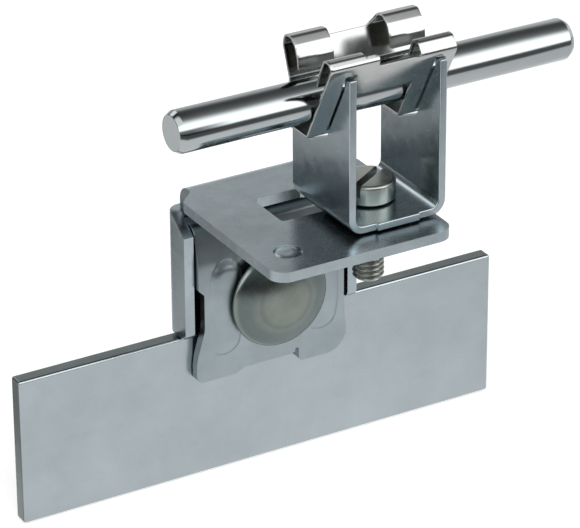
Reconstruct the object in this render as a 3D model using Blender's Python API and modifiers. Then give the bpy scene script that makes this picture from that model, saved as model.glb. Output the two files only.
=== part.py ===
"""Roof conductor holder for a standing seam, built for Blender 4.5.

A folded clamp bracket and a pressed front jaw grip the seam, drawn together by an M8
carriage bolt. A U-shaped holder screwed on the bracket's plate carries a thin spring clip,
and a round conductor is snapped into the clip. A strip stands in for the roof's seam.

Metres, +Z up. X runs along the seam and the conductor, Y points to the rear jaw.
The origin lies on the lower edge of the seam strip, under the clamping bolt.
"""

import bpy
import bmesh
from math import atan2, cos, pi, radians, sin, tan
from mathutils import Matrix, Vector

MM = 0.001
CLEARANCE = 0.3 * MM            # air left between pieces that touch
ROUND_STEPS = 48                # facets round a turned piece
ARC_STEP = radians(15)          # angle of one facet in a bend or a rounded corner

# Seam strip, which stands in for the roof's standing seam
STRIP_THICKNESS = 3.2 * MM
STRIP_HEIGHT = 30.0 * MM
STRIP_LEFT = 52.5 * MM          # reach to the left of the clamping bolt
STRIP_RIGHT = 50.5 * MM
STRIP_EDGE_RADIUS = 0.6 * MM

# Clamp bracket: top plate, rear jaw and two side flanges folded from one sheet
SHEET = 2.0 * MM
BEND_RADIUS = 1.0 * MM          # inner radius of every fold
PLATE_WIDTH = 37.3 * MM
PLATE_REACH = 38.3 * MM         # from the seam's middle to the plate's front edge
PLATE_CORNER = 3.2 * MM
NECK_INSET = 0.4 * MM           # the rear fold is this much narrower than the flat jaw
FOLD_THINNING = 0.04 * MM       # a sheet thins a little where it is folded
PLATE_ABOVE_SEAM = 29.3 * MM    # from the seam's upper edge to the plate's upper face
FLANGE_REACH = 7.6 * MM         # from the rear jaw's back to the flanges' front edges
FLANGE_TOP_DROP = 4.1 * MM      # from the plate's upper face to the flanges' rear corner
FLANGE_SLOPE_DROP = 3.5 * MM    # further fall to the flanges' front corner
FLANGE_CORNER = 1.5 * MM
JAW_REACH = 10.4 * MM           # how far the jaws reach down beside the seam
REAR_JAW_CORNER = 4.0 * MM
WINDOW = 10.7 * MM              # square window in the plate
WINDOW_FROM_FRONT = 18.4 * MM
WINDOW_LEFT = 7.0 * MM
WINDOW_CORNER = 0.8 * MM
MARK_DIAMETER = 5.4 * MM        # round punch mark pressed in the plate
MARK_DEPTH = 0.3 * MM
MARK_FROM_FRONT = 7.2 * MM
MARK_LEFT = 12.3 * MM

# Front jaw, pressed from thinner sheet with two ribs and a heel at the top
JAW_SHEET = 1.8 * MM
JAW_DROP = 6.0 * MM             # from the plate's upper face to the jaw's heel
JAW_OFFSET = 1.2 * MM           # how far the feet stand behind the jaw's face
JAW_WAIST_STEP = 1.2 * MM       # side step below the jaw's guided shoulders
SHOULDER_HEIGHT = 12.5 * MM     # depth of the guided shoulders
FOOT_BEND_ABOVE = 2.2 * MM      # start of the foot bend, above the seam's upper edge
FOOT_BEND_HEIGHT = 6.0 * MM
LEFT_FOOT_SHORTER = 1.0 * MM
FOOT_WIDTH = 8.3 * MM
FOOT_ARCH = 2.0 * MM            # rise of the lower edge between the feet
LEFT_FOOT_CORNER = 1.5 * MM
RIGHT_FOOT_CORNER = 4.4 * MM
RELIEF_WIDTH = 0.8 * MM
RELIEF_HEIGHT = 1.0 * MM
RIB_WIDTH = 5.0 * MM
RIB_HEIGHT = 0.8 * MM
RIB_SPACING = 22.0 * MM
RIB_TOP_ABOVE_BOLT = 10.0 * MM
RIB_BOTTOM_BELOW_BOLT = 10.5 * MM
RIB_WALL = 0.7 * MM

# M8 carriage bolt, nut and lock washer
BOLT_ABOVE_SEAM = 6.3 * MM
BOLT_DIAMETER = 8.0 * MM
BOLT_LENGTH = 25.0 * MM
BOLT_HOLE_CLEARANCE = 0.5 * MM
BOLT_HEAD_DIAMETER = 20.2 * MM
BOLT_HEAD_HEIGHT = 3.9 * MM
BOLT_RIM = 0.9 * MM
NECK_WIDTH = 8.6 * MM
NECK_LENGTH = 5.0 * MM
NUT_ACROSS_FLATS = 13.0 * MM
NUT_HEIGHT = 6.5 * MM
WASHER_DIAMETER = 14.8 * MM
WASHER_THICKNESS = 2.0 * MM
WASHER_SLIT = 1.0 * MM

# U-shaped holder on the plate
HOLDER_SHEET = 1.5 * MM
HOLDER_BEND = 1.5 * MM
HOLDER_WIDTH = 20.4 * MM
HOLDER_DEPTH = 20.4 * MM
HOLDER_RIGHT = 9.95 * MM        # screw axis, right of the clamping bolt
HOLDER_FROM_FRONT = 16.15 * MM  # screw axis, behind the plate's front edge
LEG_HEIGHT = 30.5 * MM
HORN_DEPTH = 2.0 * MM           # front horn of each leg
NOTCH_BEHIND_ROD = 3.75 * MM    # room for the clip behind the conductor
NOTCH_BELOW_CLIP = 3.2 * MM
NOTCH_FRONT_RUN = 6.2 * MM      # length of the slope from the clip's seat to the floor
NOTCH_REAR_RUN = 1.6 * MM       # slanted rear corner of the floor
NOTCH_REAR_RISE = 1.8 * MM
NOTCH_FRONT_RADIUS = 2.0 * MM
NOTCH_REAR_RADIUS = 1.2 * MM
NOTCH_SEAT_RADIUS = 0.8 * MM
HORN_FOOT_RADIUS = 0.5 * MM
TAB_WIDTH = 9.0 * MM            # shear tab on the base's front edge
TAB_REACH = 0.5 * MM

# M6 slotted cheese-head screw
SCREW_DIAMETER = 6.0 * MM
SCREW_LENGTH = 16.5 * MM
SCREW_HEAD_DIAMETER = 10.0 * MM
SCREW_HEAD_HEIGHT = 3.9 * MM
SCREW_SLOT_WIDTH = 1.8 * MM
SCREW_SLOT_DEPTH = 2.0 * MM
SCREW_SLOT_TURN = radians(20)

# Conductor rod
ROD_DIAMETER = 8.0 * MM
ROD_BELOW_LEG_TOP = 6.7 * MM
ROD_LEFT = 40.65 * MM           # reach to the left of the screw axis
ROD_RIGHT = 42.25 * MM
ROD_CHAMFER = 0.5 * MM

# Spring clip, one folded strip of thin sheet
CLIP_SHEET = 0.5 * MM
CLIP_WIDTH = 26.65 * MM
CLIP_SHIFT = -0.83 * MM         # the clip sits a little left of the holder's middle
LOOP_WIDTH = 7.45 * MM
CLIP_SLOPE = radians(28.1)      # lean of the straps and the front band from the vertical
CLIP_BELOW_ROD = 1.9 * MM
CLIP_BEND = 1.4 * MM            # bends under the conductor
BAND_BELOW_HORN = 4.7 * MM      # lower edge of the front band, below the horn tips
BAND_ABOVE_HORN = 1.7 * MM      # upper edge of the front band, above the horn tips
STUB_WIDTH = 2.6 * MM           # stub beside the left loop, on the front band
STUB_RISE = 1.95 * MM
CROWN_ABOVE_ROD = 7.0 * MM      # top of the loops above the conductor
WALL_BELOW_CROWN = 2.3 * MM     # upper edge of the rear wall between the loops
CURL_GAP_ABOVE_ROD = 0.4 * MM   # lower end of the cut that frees the front loops' curls
CURL_GAP_REACH = 7.0 * MM       # front end of that cut, from the rod's axis
HORN_SLOT_MARGIN = 1.2 * MM     # room behind the horns in the clip's slots
WALL_MARGIN = 1.0 * MM          # the curls' cut ends this far before the rear wall

# Corners of the clip's loops: (reach behind the band or wall, drop below the crown, bend)
FRONT_LOOP = (
    (5.37 * MM, 6.15 * MM, 0.0),
    (4.1 * MM, 3.0 * MM, 4.0 * MM),
    (2.8 * MM, 0.15 * MM, 1.0 * MM),
    (1.2 * MM, 0.05 * MM, 0.9 * MM),
    (0.0, 1.7 * MM, 1.2 * MM),
)
REAR_LOOP = (
    (0.0, 8.0 * MM, 3.0 * MM),
    (1.5 * MM, 3.6 * MM, 2.5 * MM),
    (1.6 * MM, 1.0 * MM, 1.5 * MM),
    (0.0, -0.3 * MM, 1.5 * MM),
    (-2.2 * MM, 0.7 * MM, 1.2 * MM),
    (-2.9 * MM, 3.2 * MM, 4.0 * MM),
    (-3.1 * MM, 5.7 * MM, 0.0),
)

STRIP_TOP = STRIP_HEIGHT
PLATE_TOP = STRIP_TOP + PLATE_ABOVE_SEAM
PLATE_FRONT = -PLATE_REACH
SEAM_REAR = STRIP_THICKNESS / 2 + CLEARANCE
REAR_JAW_MIDDLE = SEAM_REAR + SHEET / 2
REAR_JAW_BACK = SEAM_REAR + SHEET
FLANGE_FRONT = REAR_JAW_BACK - FLANGE_REACH
NECK_HALF = PLATE_WIDTH / 2 - BEND_RADIUS - SHEET - NECK_INSET
JAW_BOTTOM = STRIP_TOP - JAW_REACH
FEET_MIDDLE = -SEAM_REAR - JAW_SHEET / 2
JAW_MIDDLE = FEET_MIDDLE - JAW_OFFSET
JAW_FRONT = JAW_MIDDLE - JAW_SHEET / 2
JAW_TOP = PLATE_TOP - JAW_DROP
SHOULDER_HALF = PLATE_WIDTH / 2 - SHEET - CLEARANCE
BOLT_Z = STRIP_TOP + BOLT_ABOVE_SEAM
BOLT_SEAT = JAW_FRONT - RIB_HEIGHT - CLEARANCE
HOLDER_Y = PLATE_FRONT + HOLDER_FROM_FRONT
HOLDER_BOTTOM = PLATE_TOP + CLEARANCE
LEG_TOP = HOLDER_BOTTOM + LEG_HEIGHT
ROD_Z = LEG_TOP - ROD_BELOW_LEG_TOP
ROD_RADIUS = ROD_DIAMETER / 2
CLIP_X = HOLDER_RIGHT + CLIP_SHIFT
CLIP_TOUCH = ROD_RADIUS + CLEARANCE + CLIP_SHEET / 2

STEEL = (0.52, 0.56, 0.60)
WARM_STEEL = (0.46, 0.46, 0.42)
BRIGHT_STEEL = (0.70, 0.71, 0.72)

# Frames that turn a flat outline's plane (and its extrusion) to where it is needed
FROM_ABOVE = Matrix.Identity(4)
FROM_SIDE = Matrix(((0, 0, 1, 0), (1, 0, 0, 0), (0, 1, 0, 0), (0, 0, 0, 1)))
FROM_FRONT = Matrix(((1, 0, 0, 0), (0, 0, -1, 0), (0, 1, 0, 0), (0, 0, 0, 1)))


def clear_scene():
    for item in list(bpy.data.objects):
        bpy.data.objects.remove(item, do_unlink=True)


def new_collection(name):
    collection = bpy.data.collections.new(name)
    bpy.context.scene.collection.children.link(collection)
    return collection


def material(name, colour, roughness):
    made = bpy.data.materials.new(name)
    made.use_nodes = True
    shader = made.node_tree.nodes["Principled BSDF"]
    shader.inputs["Base Color"].default_value = (*colour, 1.0)
    shader.inputs["Roughness"].default_value = roughness
    shader.inputs["Metallic"].default_value = 1.0
    return made


def corner_arc(before, corner, after, radius):
    """Points that round one corner of an outline or a path."""
    to_before = (before - corner).normalized()
    to_after = (after - corner).normalized()
    turn = pi - to_before.angle(to_after)
    if radius <= 0 or turn < radians(1):
        return [corner]
    reach = radius * tan(turn / 2)
    centre = corner + (to_before + to_after).normalized() * (radius / cos(turn / 2))
    start = corner + to_before * reach - centre
    sign = 1 if to_before.x * to_after.y - to_before.y * to_after.x < 0 else -1
    count = max(2, round(turn / ARC_STEP))
    turns = (sign * turn * i / count for i in range(count + 1))
    return [centre + Matrix.Rotation(a, 2) @ start for a in turns]


def rounded(points, closed):
    """Round each (u, v, radius) corner; an open path keeps its two ends."""
    places = [Vector(p[:2]) for p in points]
    count = len(places)
    result = []
    for i, point in enumerate(points):
        if not closed and i in (0, count - 1):
            result.append(places[i])
            continue
        after = places[(i + 1) % count]
        result += corner_arc(places[i - 1], places[i], after, point[2])
    return result


def sheet_section(path, thickness):
    """Closed section of a sheet whose middle line is the rounded path."""
    line = rounded(path, closed=False)
    front = []
    back = []
    for i, point in enumerate(line):
        ahead = (line[min(i + 1, len(line) - 1)] - point)
        behind = (point - line[max(i - 1, 0)])
        first = (behind if behind.length else ahead).normalized()
        second = (ahead if ahead.length else behind).normalized()
        along = (first + second).normalized()
        across = Vector((-along.y, along.x)) * (thickness / 2 / along.dot(first))
        front.append(point + across)
        back.append(point - across)
    return front + back[::-1]


def outline_solid(name, outlines, depth, frame, centre, collection):
    """Extrude flat outlines by depth, half to each side of centre."""
    curve = bpy.data.curves.new(name, "CURVE")
    curve.dimensions = "2D"
    curve.fill_mode = "BOTH"
    curve.extrude = depth / 2
    for outline in outlines:
        spline = curve.splines.new("POLY")
        spline.points.add(len(outline) - 1)
        for target, point in zip(spline.points, outline):
            target.co = (point[0], point[1], 0.0, 1.0)
        spline.use_cyclic_u = True
    source = bpy.data.objects.new(name + "_curve", curve)
    bpy.context.scene.collection.objects.link(source)
    bpy.context.view_layer.update()
    evaluated = source.evaluated_get(bpy.context.evaluated_depsgraph_get())
    mesh = bpy.data.meshes.new_from_object(evaluated)
    bpy.data.objects.remove(source, do_unlink=True)
    weld_and_place(mesh, Matrix.Translation(centre) @ frame)
    return place_mesh(name, mesh, collection)


def weld_and_place(mesh, matrix):
    work = bmesh.new()
    work.from_mesh(mesh)
    bmesh.ops.remove_doubles(work, verts=work.verts, dist=1e-7)
    bmesh.ops.transform(work, matrix=matrix, verts=work.verts)
    bmesh.ops.recalc_face_normals(work, faces=work.faces)
    work.to_mesh(mesh)
    work.free()


def place_mesh(name, mesh, collection):
    placed = bpy.data.objects.new(name, mesh)
    collection.objects.link(placed)
    if collection is tools:
        placed.hide_render = True
        placed.display_type = "WIRE"
    return placed


def turned_solid(name, profile, matrix, collection):
    """Turn a profile of (radius, height) pairs, listed top to bottom, about local Z."""
    mesh = bpy.data.meshes.new(name)
    edges = [(i, i + 1) for i in range(len(profile) - 1)]
    mesh.from_pydata([(r, 0.0, h) for r, h in profile], edges, [])
    made = place_mesh(name, mesh, collection)
    made.matrix_world = matrix
    screw = made.modifiers.new("Turn", "SCREW")
    screw.steps = ROUND_STEPS
    screw.render_steps = ROUND_STEPS
    screw.use_merge_vertices = True
    screw.merge_threshold = 1e-6
    return made


def block(name, low, high, collection):
    """Axis-parallel block between two corners."""
    low = Vector(low)
    high = Vector(high)
    bpy.ops.mesh.primitive_cube_add(size=1.0)
    made = bpy.context.object
    made.name = name
    made.data.name = name
    for owner in list(made.users_collection):
        owner.objects.unlink(made)
    size = high - low
    matrix = Matrix.Translation((low + high) / 2) @ Matrix.Diagonal((*size, 1.0))
    made.data.transform(matrix)
    collection.objects.link(made)
    if collection is tools:
        made.hide_render = True
        made.display_type = "WIRE"
    return made


def cylinder(name, radius, length, matrix, sides=ROUND_STEPS):
    """Tool cylinder about local Z, centred on the matrix."""
    mesh = bpy.data.meshes.new(name)
    work = bmesh.new()
    bmesh.ops.create_cone(work, cap_ends=True, segments=sides, radius1=radius,
                          radius2=radius, depth=length)
    bmesh.ops.transform(work, matrix=matrix, verts=work.verts)
    work.to_mesh(mesh)
    work.free()
    return place_mesh(name, mesh, tools)


def combine(target, tool, operation):
    modifier = target.modifiers.new(operation.title(), "BOOLEAN")
    modifier.operation = operation
    modifier.solver = "EXACT"
    modifier.object = tool
    return target


def move_origin(item, place):
    """Put an object's origin at a world place and keep its mesh where it is."""
    item.data.transform(Matrix.Translation(-Vector(place)))
    item.location = place


def finish(item, made_material, sharp=radians(30)):
    item.data.materials.clear()
    item.data.materials.append(made_material)
    item.data.shade_smooth()
    item.data.set_sharp_from_angle(angle=sharp)


def toward(place, direction):
    """Matrix that stands a turned piece's Z axis along a direction."""
    turn = Vector(direction).to_track_quat("Z", "Y").to_matrix().to_4x4()
    return Matrix.Translation(place) @ turn


def build_seam_strip():
    strip = block(
        "seam_strip",
        (-STRIP_LEFT, -STRIP_THICKNESS / 2, 0.0),
        (STRIP_RIGHT, STRIP_THICKNESS / 2, STRIP_HEIGHT),
        parts,
    )
    edge = strip.modifiers.new("Worn edges", "BEVEL")
    edge.width = STRIP_EDGE_RADIUS
    edge.segments = 3
    finish(strip, material("strip_steel", STEEL, 0.35))


def plate_outline():
    half = PLATE_WIDTH / 2
    shoulder = FLANGE_FRONT
    bend_start = REAR_JAW_BACK - BEND_RADIUS - SHEET
    cut = half - NECK_HALF
    right = [
        (half, PLATE_FRONT, PLATE_CORNER),
        (half, shoulder, BEND_RADIUS),
        (half - cut, shoulder + cut, BEND_RADIUS),
        (half - cut, bend_start, 0.0),
    ]
    left = [(-x, y, r) for x, y, r in reversed(right)]
    return rounded(right + left, closed=True)


def flange_cuts(bottom, top):
    """Side views of what is sheared off the flanges: the sloping top and a lower corner."""
    front = FLANGE_FRONT - SHEET
    fall = top - FLANGE_SLOPE_DROP
    slope = FLANGE_SLOPE_DROP / (FLANGE_REACH - BEND_RADIUS - SHEET)
    above = PLATE_TOP - SHEET - CLEARANCE
    start = REAR_JAW_BACK - BEND_RADIUS - SHEET
    yield "flange_slope", [
        (front, fall - slope * SHEET), (start, top), (start, above), (front, above),
    ]
    corner = rounded([
        (FLANGE_FRONT, bottom + 2 * FLANGE_CORNER, 0.0),
        (FLANGE_FRONT, bottom, FLANGE_CORNER),
        (FLANGE_FRONT + 2 * FLANGE_CORNER, bottom, 0.0),
    ], closed=False)[1:-1]
    yield "flange_corner", corner + [
        (FLANGE_FRONT + FLANGE_CORNER, bottom - FLANGE_CORNER),
        (front, bottom - FLANGE_CORNER),
        (front, bottom + FLANGE_CORNER),
    ]


def build_clamp_bracket():
    bend = BEND_RADIUS + SHEET / 2
    bracket = outline_solid(
        "clamp_bracket", [plate_outline()], SHEET, FROM_ABOVE,
        (0, 0, PLATE_TOP - SHEET / 2), parts,
    )
    fold_path = [
        (REAR_JAW_MIDDLE - bend - SHEET, PLATE_TOP - SHEET / 2, 0.0),
        (REAR_JAW_MIDDLE, PLATE_TOP - SHEET / 2, bend),
        (REAR_JAW_MIDDLE, JAW_BOTTOM, 0.0),
    ]
    fold = outline_solid(
        "rear_fold", [sheet_section(fold_path, SHEET - FOLD_THINNING)], 2 * NECK_HALF,
        FROM_SIDE, (0, 0, 0), tools,
    )
    jaw_face = [
        (-NECK_HALF, JAW_BOTTOM, REAR_JAW_CORNER),
        (NECK_HALF, JAW_BOTTOM, REAR_JAW_CORNER),
        (NECK_HALF, PLATE_TOP + SHEET, 0.0),
        (-NECK_HALF, PLATE_TOP + SHEET, 0.0),
    ]
    face = outline_solid(
        "rear_jaw_face", [rounded(jaw_face, closed=True)], 4 * REAR_JAW_BACK, FROM_FRONT,
        (0, 0, 0), tools,
    )
    combine(fold, face, "INTERSECT")
    side = PLATE_WIDTH / 2 - SHEET / 2
    channel_path = [
        (-side, FLANGE_FRONT, 0.0),
        (-side, REAR_JAW_MIDDLE, bend),
        (side, REAR_JAW_MIDDLE, bend),
        (side, FLANGE_FRONT, 0.0),
    ]
    bottom = STRIP_TOP + CLEARANCE
    top = PLATE_TOP - FLANGE_TOP_DROP
    channel = outline_solid(
        "flange_channel", [sheet_section(channel_path, SHEET)], top - bottom, FROM_ABOVE,
        (0, 0, (top + bottom) / 2), tools,
    )
    combine(bracket, fold, "UNION")
    combine(bracket, channel, "UNION")
    for name, outline in flange_cuts(bottom, top):
        cutter = outline_solid(
            name, [outline], PLATE_WIDTH + SHEET, FROM_SIDE, (0, 0, 0), tools,
        )
        combine(bracket, cutter, "DIFFERENCE")
    bolt_hole = cylinder(
        "bolt_hole", BOLT_DIAMETER / 2 + BOLT_HOLE_CLEARANCE, 4 * SHEET,
        toward((0, REAR_JAW_MIDDLE, BOLT_Z), (0, 1, 0)),
    )
    screw_hole = cylinder(
        "screw_hole", SCREW_DIAMETER / 2 + CLEARANCE, 4 * SHEET,
        Matrix.Translation((HOLDER_RIGHT, HOLDER_Y, PLATE_TOP)),
    )
    near = PLATE_FRONT + WINDOW_FROM_FRONT
    window_corners = [
        (-WINDOW_LEFT, near, WINDOW_CORNER),
        (WINDOW - WINDOW_LEFT, near, WINDOW_CORNER),
        (WINDOW - WINDOW_LEFT, near + WINDOW, WINDOW_CORNER),
        (-WINDOW_LEFT, near + WINDOW, WINDOW_CORNER),
    ]
    window = outline_solid(
        "plate_window", [rounded(window_corners, closed=True)], 4 * SHEET, FROM_ABOVE,
        (0, 0, PLATE_TOP), tools,
    )
    mark = cylinder(
        "punch_mark", MARK_DIAMETER / 2, 2 * MARK_DEPTH,
        Matrix.Translation((-MARK_LEFT, PLATE_FRONT + MARK_FROM_FRONT, PLATE_TOP)),
        sides=24,
    )
    for cutter in (bolt_hole, screw_hole, window, mark):
        combine(bracket, cutter, "DIFFERENCE")
    finish(bracket, material("bracket_steel", STEEL, 0.35))


def jaw_path(forward):
    """Middle line of the front jaw, seen from the side and moved forward."""
    bend_top = STRIP_TOP + FOOT_BEND_ABOVE
    heel = JAW_TOP - JAW_SHEET / 2
    return [
        (SEAM_REAR - CLEARANCE, heel, 0.0),
        (JAW_MIDDLE - forward, heel, BEND_RADIUS + JAW_SHEET / 2),
        (JAW_MIDDLE - forward, bend_top, 3 * JAW_SHEET),
        (FEET_MIDDLE - forward, bend_top - FOOT_BEND_HEIGHT, 3 * JAW_SHEET),
        (FEET_MIDDLE - forward, JAW_BOTTOM - JAW_SHEET, 0.0),
    ]


def jaw_outline():
    """Front view of the jaw: shoulders, waist and two flared feet."""
    wide = SHOULDER_HALF
    waist = wide - JAW_WAIST_STEP
    step_z = JAW_TOP - SHOULDER_HEIGHT
    flare_z = STRIP_TOP + FOOT_BEND_ABOVE
    flare_end = flare_z - FOOT_BEND_HEIGHT - FOOT_ARCH
    left_bottom = JAW_BOTTOM + LEFT_FOOT_SHORTER
    arch = JAW_BOTTOM + FOOT_ARCH
    relief = wide - FOOT_WIDTH - RIGHT_FOOT_CORNER / 2
    return rounded([
        (-wide, JAW_TOP + JAW_SHEET, 0.0),
        (-wide, step_z, JAW_WAIST_STEP / 2),
        (-waist, step_z - JAW_WAIST_STEP, JAW_WAIST_STEP / 2),
        (-waist, flare_z, JAW_SHEET),
        (-wide, flare_end, JAW_SHEET),
        (-wide, left_bottom, LEFT_FOOT_CORNER),
        (-wide + FOOT_WIDTH, left_bottom, LEFT_FOOT_CORNER),
        (-wide + FOOT_WIDTH + FOOT_ARCH, arch, LEFT_FOOT_CORNER),
        (relief - RELIEF_WIDTH, arch, 0.0),
        (relief - RELIEF_WIDTH, arch + RELIEF_HEIGHT, 0.0),
        (relief, arch + RELIEF_HEIGHT, 0.0),
        (relief, JAW_BOTTOM, JAW_SHEET / 2),
        (wide, JAW_BOTTOM, RIGHT_FOOT_CORNER),
        (wide, flare_end, JAW_SHEET),
        (waist, flare_z, JAW_SHEET),
        (waist, step_z - JAW_WAIST_STEP, JAW_WAIST_STEP / 2),
        (wide, step_z, JAW_WAIST_STEP / 2),
        (wide, JAW_TOP + JAW_SHEET, 0.0),
    ], closed=True)


def rib_outlines(wall):
    """Two upright rounded slots, one on each side of the bolt."""
    half = RIB_WIDTH / 2 - wall
    top = BOLT_Z + RIB_TOP_ABOVE_BOLT - wall
    bottom = BOLT_Z - RIB_BOTTOM_BELOW_BOLT + wall
    slots = []
    for side in (-1, 1):
        x = side * RIB_SPACING / 2
        slots.append(rounded([
            (x - half, bottom, half * 0.98),
            (x + half, bottom, half * 0.98),
            (x + half, top, half * 0.98),
            (x - half, top, half * 0.98),
        ], closed=True))
    return slots


def build_front_jaw():
    width = 2 * SHOULDER_HALF + JAW_SHEET
    deep = 8 * FLANGE_REACH
    jaw = outline_solid(
        "front_jaw", [sheet_section(jaw_path(0.0), JAW_SHEET)], width, FROM_SIDE,
        (0, 0, 0), parts,
    )
    shape = outline_solid("jaw_outline", [jaw_outline()], deep, FROM_FRONT, (0, 0, 0), tools)
    hollow = outline_solid(
        "rib_hollows", rib_outlines(RIB_WALL), deep, FROM_FRONT, (0, 0, 0), tools,
    )
    ribs = outline_solid(
        "raised_ribs", [sheet_section(jaw_path(RIB_HEIGHT)[1:], JAW_SHEET)], width,
        FROM_SIDE, (0, 0, 0), tools,
    )
    rib_shape = outline_solid(
        "rib_shape", rib_outlines(0.0), deep, FROM_FRONT, (0, 0, 0), tools,
    )
    neck_half = NECK_WIDTH / 2 + CLEARANCE
    neck_hole = block(
        "neck_hole",
        (-neck_half, JAW_MIDDLE - 2 * JAW_SHEET, BOLT_Z - neck_half),
        (neck_half, JAW_MIDDLE + 2 * JAW_SHEET, BOLT_Z + neck_half),
        tools,
    )
    combine(jaw, shape, "INTERSECT")
    combine(jaw, hollow, "DIFFERENCE")
    combine(ribs, rib_shape, "INTERSECT")
    combine(jaw, ribs, "UNION")
    combine(jaw, neck_hole, "DIFFERENCE")
    move_origin(jaw, (0, JAW_MIDDLE, BOLT_Z))
    finish(jaw, material("jaw_steel", STEEL, 0.3))


def dome_profile(radius, height, rim, steps=8):
    """Shallow dome over a straight rim, from its top down to its flat underside."""
    rise = height - rim
    ball = (radius ** 2 + rise ** 2) / (2 * rise)
    spread = atan2(radius, ball - rise)
    points = []
    for i in range(steps + 1):
        angle = spread * i / steps
        points.append((ball * sin(angle), rim + ball * cos(angle) - (ball - rise)))
    points[0] = (0.0, height)
    return points + [(radius - rim / 3, 0.0), (0.0, 0.0)]


def build_carriage_bolt():
    bolt_frame = toward((0, BOLT_SEAT, BOLT_Z), (0, -1, 0))
    head = dome_profile(BOLT_HEAD_DIAMETER / 2, BOLT_HEAD_HEIGHT, BOLT_RIM)
    radius = BOLT_DIAMETER / 2
    bolt = turned_solid("carriage_bolt_m8", head, bolt_frame, parts)
    chamfer = radius / 5
    shank = turned_solid(
        "bolt_shank",
        [(0.0, -BOLT_RIM / 9), (radius, -BOLT_RIM / 9), (radius, chamfer - BOLT_LENGTH),
         (radius - chamfer, -BOLT_LENGTH), (0.0, -BOLT_LENGTH)],
        bolt_frame, tools,
    )
    shank.location.y -= BOLT_RIM / 3
    half = NECK_WIDTH / 2
    neck = block(
        "square_neck",
        (-half, BOLT_SEAT - BOLT_RIM / 3, BOLT_Z - half),
        (half, BOLT_SEAT + NECK_LENGTH, BOLT_Z + half),
        tools,
    )
    combine(bolt, shank, "UNION")
    combine(bolt, neck, "UNION")
    finish(bolt, material("bolt_steel", WARM_STEEL, 0.4))


def build_lock_washer():
    washer_y = REAR_JAW_BACK + CLEARANCE
    inner = BOLT_DIAMETER / 2 + CLEARANCE
    outer = WASHER_DIAMETER / 2
    ring = [(inner, 0.0), (inner, WASHER_THICKNESS), (outer, WASHER_THICKNESS),
            (outer, 0.0), (inner, 0.0)]
    washer = turned_solid(
        "lock_washer_m8", ring, toward((0, washer_y, BOLT_Z), (0, 1, 0)), parts,
    )
    slit = block(
        "washer_slit",
        (-WASHER_SLIT / 2, washer_y - SHEET, BOLT_Z),
        (WASHER_SLIT / 2, washer_y + WASHER_THICKNESS + SHEET, BOLT_Z + WASHER_DIAMETER),
        tools,
    )
    combine(washer, slit, "DIFFERENCE")
    finish(washer, material("washer_steel", STEEL, 0.4))


def build_hex_nut():
    seat = REAR_JAW_BACK + WASHER_THICKNESS + 2 * CLEARANCE
    corner = NUT_ACROSS_FLATS / 2 / cos(pi / 6)
    flat = NUT_ACROSS_FLATS / 2
    fall = (corner - flat) * tan(radians(30)) * 1.5
    barrel = [
        (0.0, NUT_HEIGHT), (flat * 0.96, NUT_HEIGHT), (corner, NUT_HEIGHT - fall),
        (corner, fall), (flat * 0.96, 0.0), (0.0, 0.0),
    ]
    nut = turned_solid("hex_nut_m8", barrel, toward((0, seat, BOLT_Z), (0, 1, 0)), parts)
    prism = cylinder(
        "nut_flats", corner, NUT_HEIGHT * 2,
        toward((0, seat + NUT_HEIGHT / 2, BOLT_Z), (0, 1, 0)), sides=6,
    )
    bore = cylinder(
        "nut_bore", BOLT_DIAMETER / 2 + CLEARANCE, NUT_HEIGHT * 2,
        toward((0, seat + NUT_HEIGHT / 2, BOLT_Z), (0, 1, 0)),
    )
    combine(nut, prism, "INTERSECT")
    combine(nut, bore, "DIFFERENCE")
    finish(nut, material("nut_steel", STEEL, 0.4))


def strap_line(level, distance):
    """Place across the rod of the sloping strap's line, at a level above the rod's axis."""
    return (-distance - level * sin(CLIP_SLOPE)) / cos(CLIP_SLOPE)


def clip_path():
    """Middle line of the clip seen from the left, relative to the rod's axis."""
    top = ROD_RADIUS + CROWN_ABOVE_ROD
    touch = CLIP_TOUCH
    bottom = -ROD_RADIUS - CLIP_BELOW_ROD - CLIP_SHEET / 2
    front = strap_line(top - FRONT_LOOP[-1][1], touch)
    under = [(strap_line(bottom, touch), bottom, CLIP_BEND), (touch, bottom, CLIP_BEND)]
    front_loop = [(front + reach, top - drop, bend) for reach, drop, bend in FRONT_LOOP]
    rear_loop = [(touch + reach, top - drop, bend) for reach, drop, bend in REAR_LOOP]
    return front_loop + under + rear_loop


def clip_gaps():
    """Cuts between the clip's loops: left and right end, then y and z from the rod's axis."""
    left = CLIP_X - CLIP_WIDTH / 2 + LOOP_WIDTH
    right = CLIP_X + CLIP_WIDTH / 2 - LOOP_WIDTH
    far = CLIP_WIDTH
    rear = CLIP_TOUCH - WALL_MARGIN
    horn = ROD_BELOW_LEG_TOP
    band_top = horn + BAND_ABOVE_HORN
    curl = ROD_RADIUS + CURL_GAP_ABOVE_ROD
    wall = ROD_RADIUS + CROWN_ABOVE_ROD - WALL_BELOW_CROWN
    yield "strap_gap", left, right, -far, far, -far, horn - BAND_BELOW_HORN
    yield "curl_gap", left, right, -CURL_GAP_REACH, rear, curl, far
    yield "front_gap", left + STUB_WIDTH, right, -far, 0.0, band_top, far
    yield "stub_gap", left, right, -far, 0.0, band_top + STUB_RISE, far
    yield "rear_gap", left, right, 0.0, far, wall, far


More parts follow.
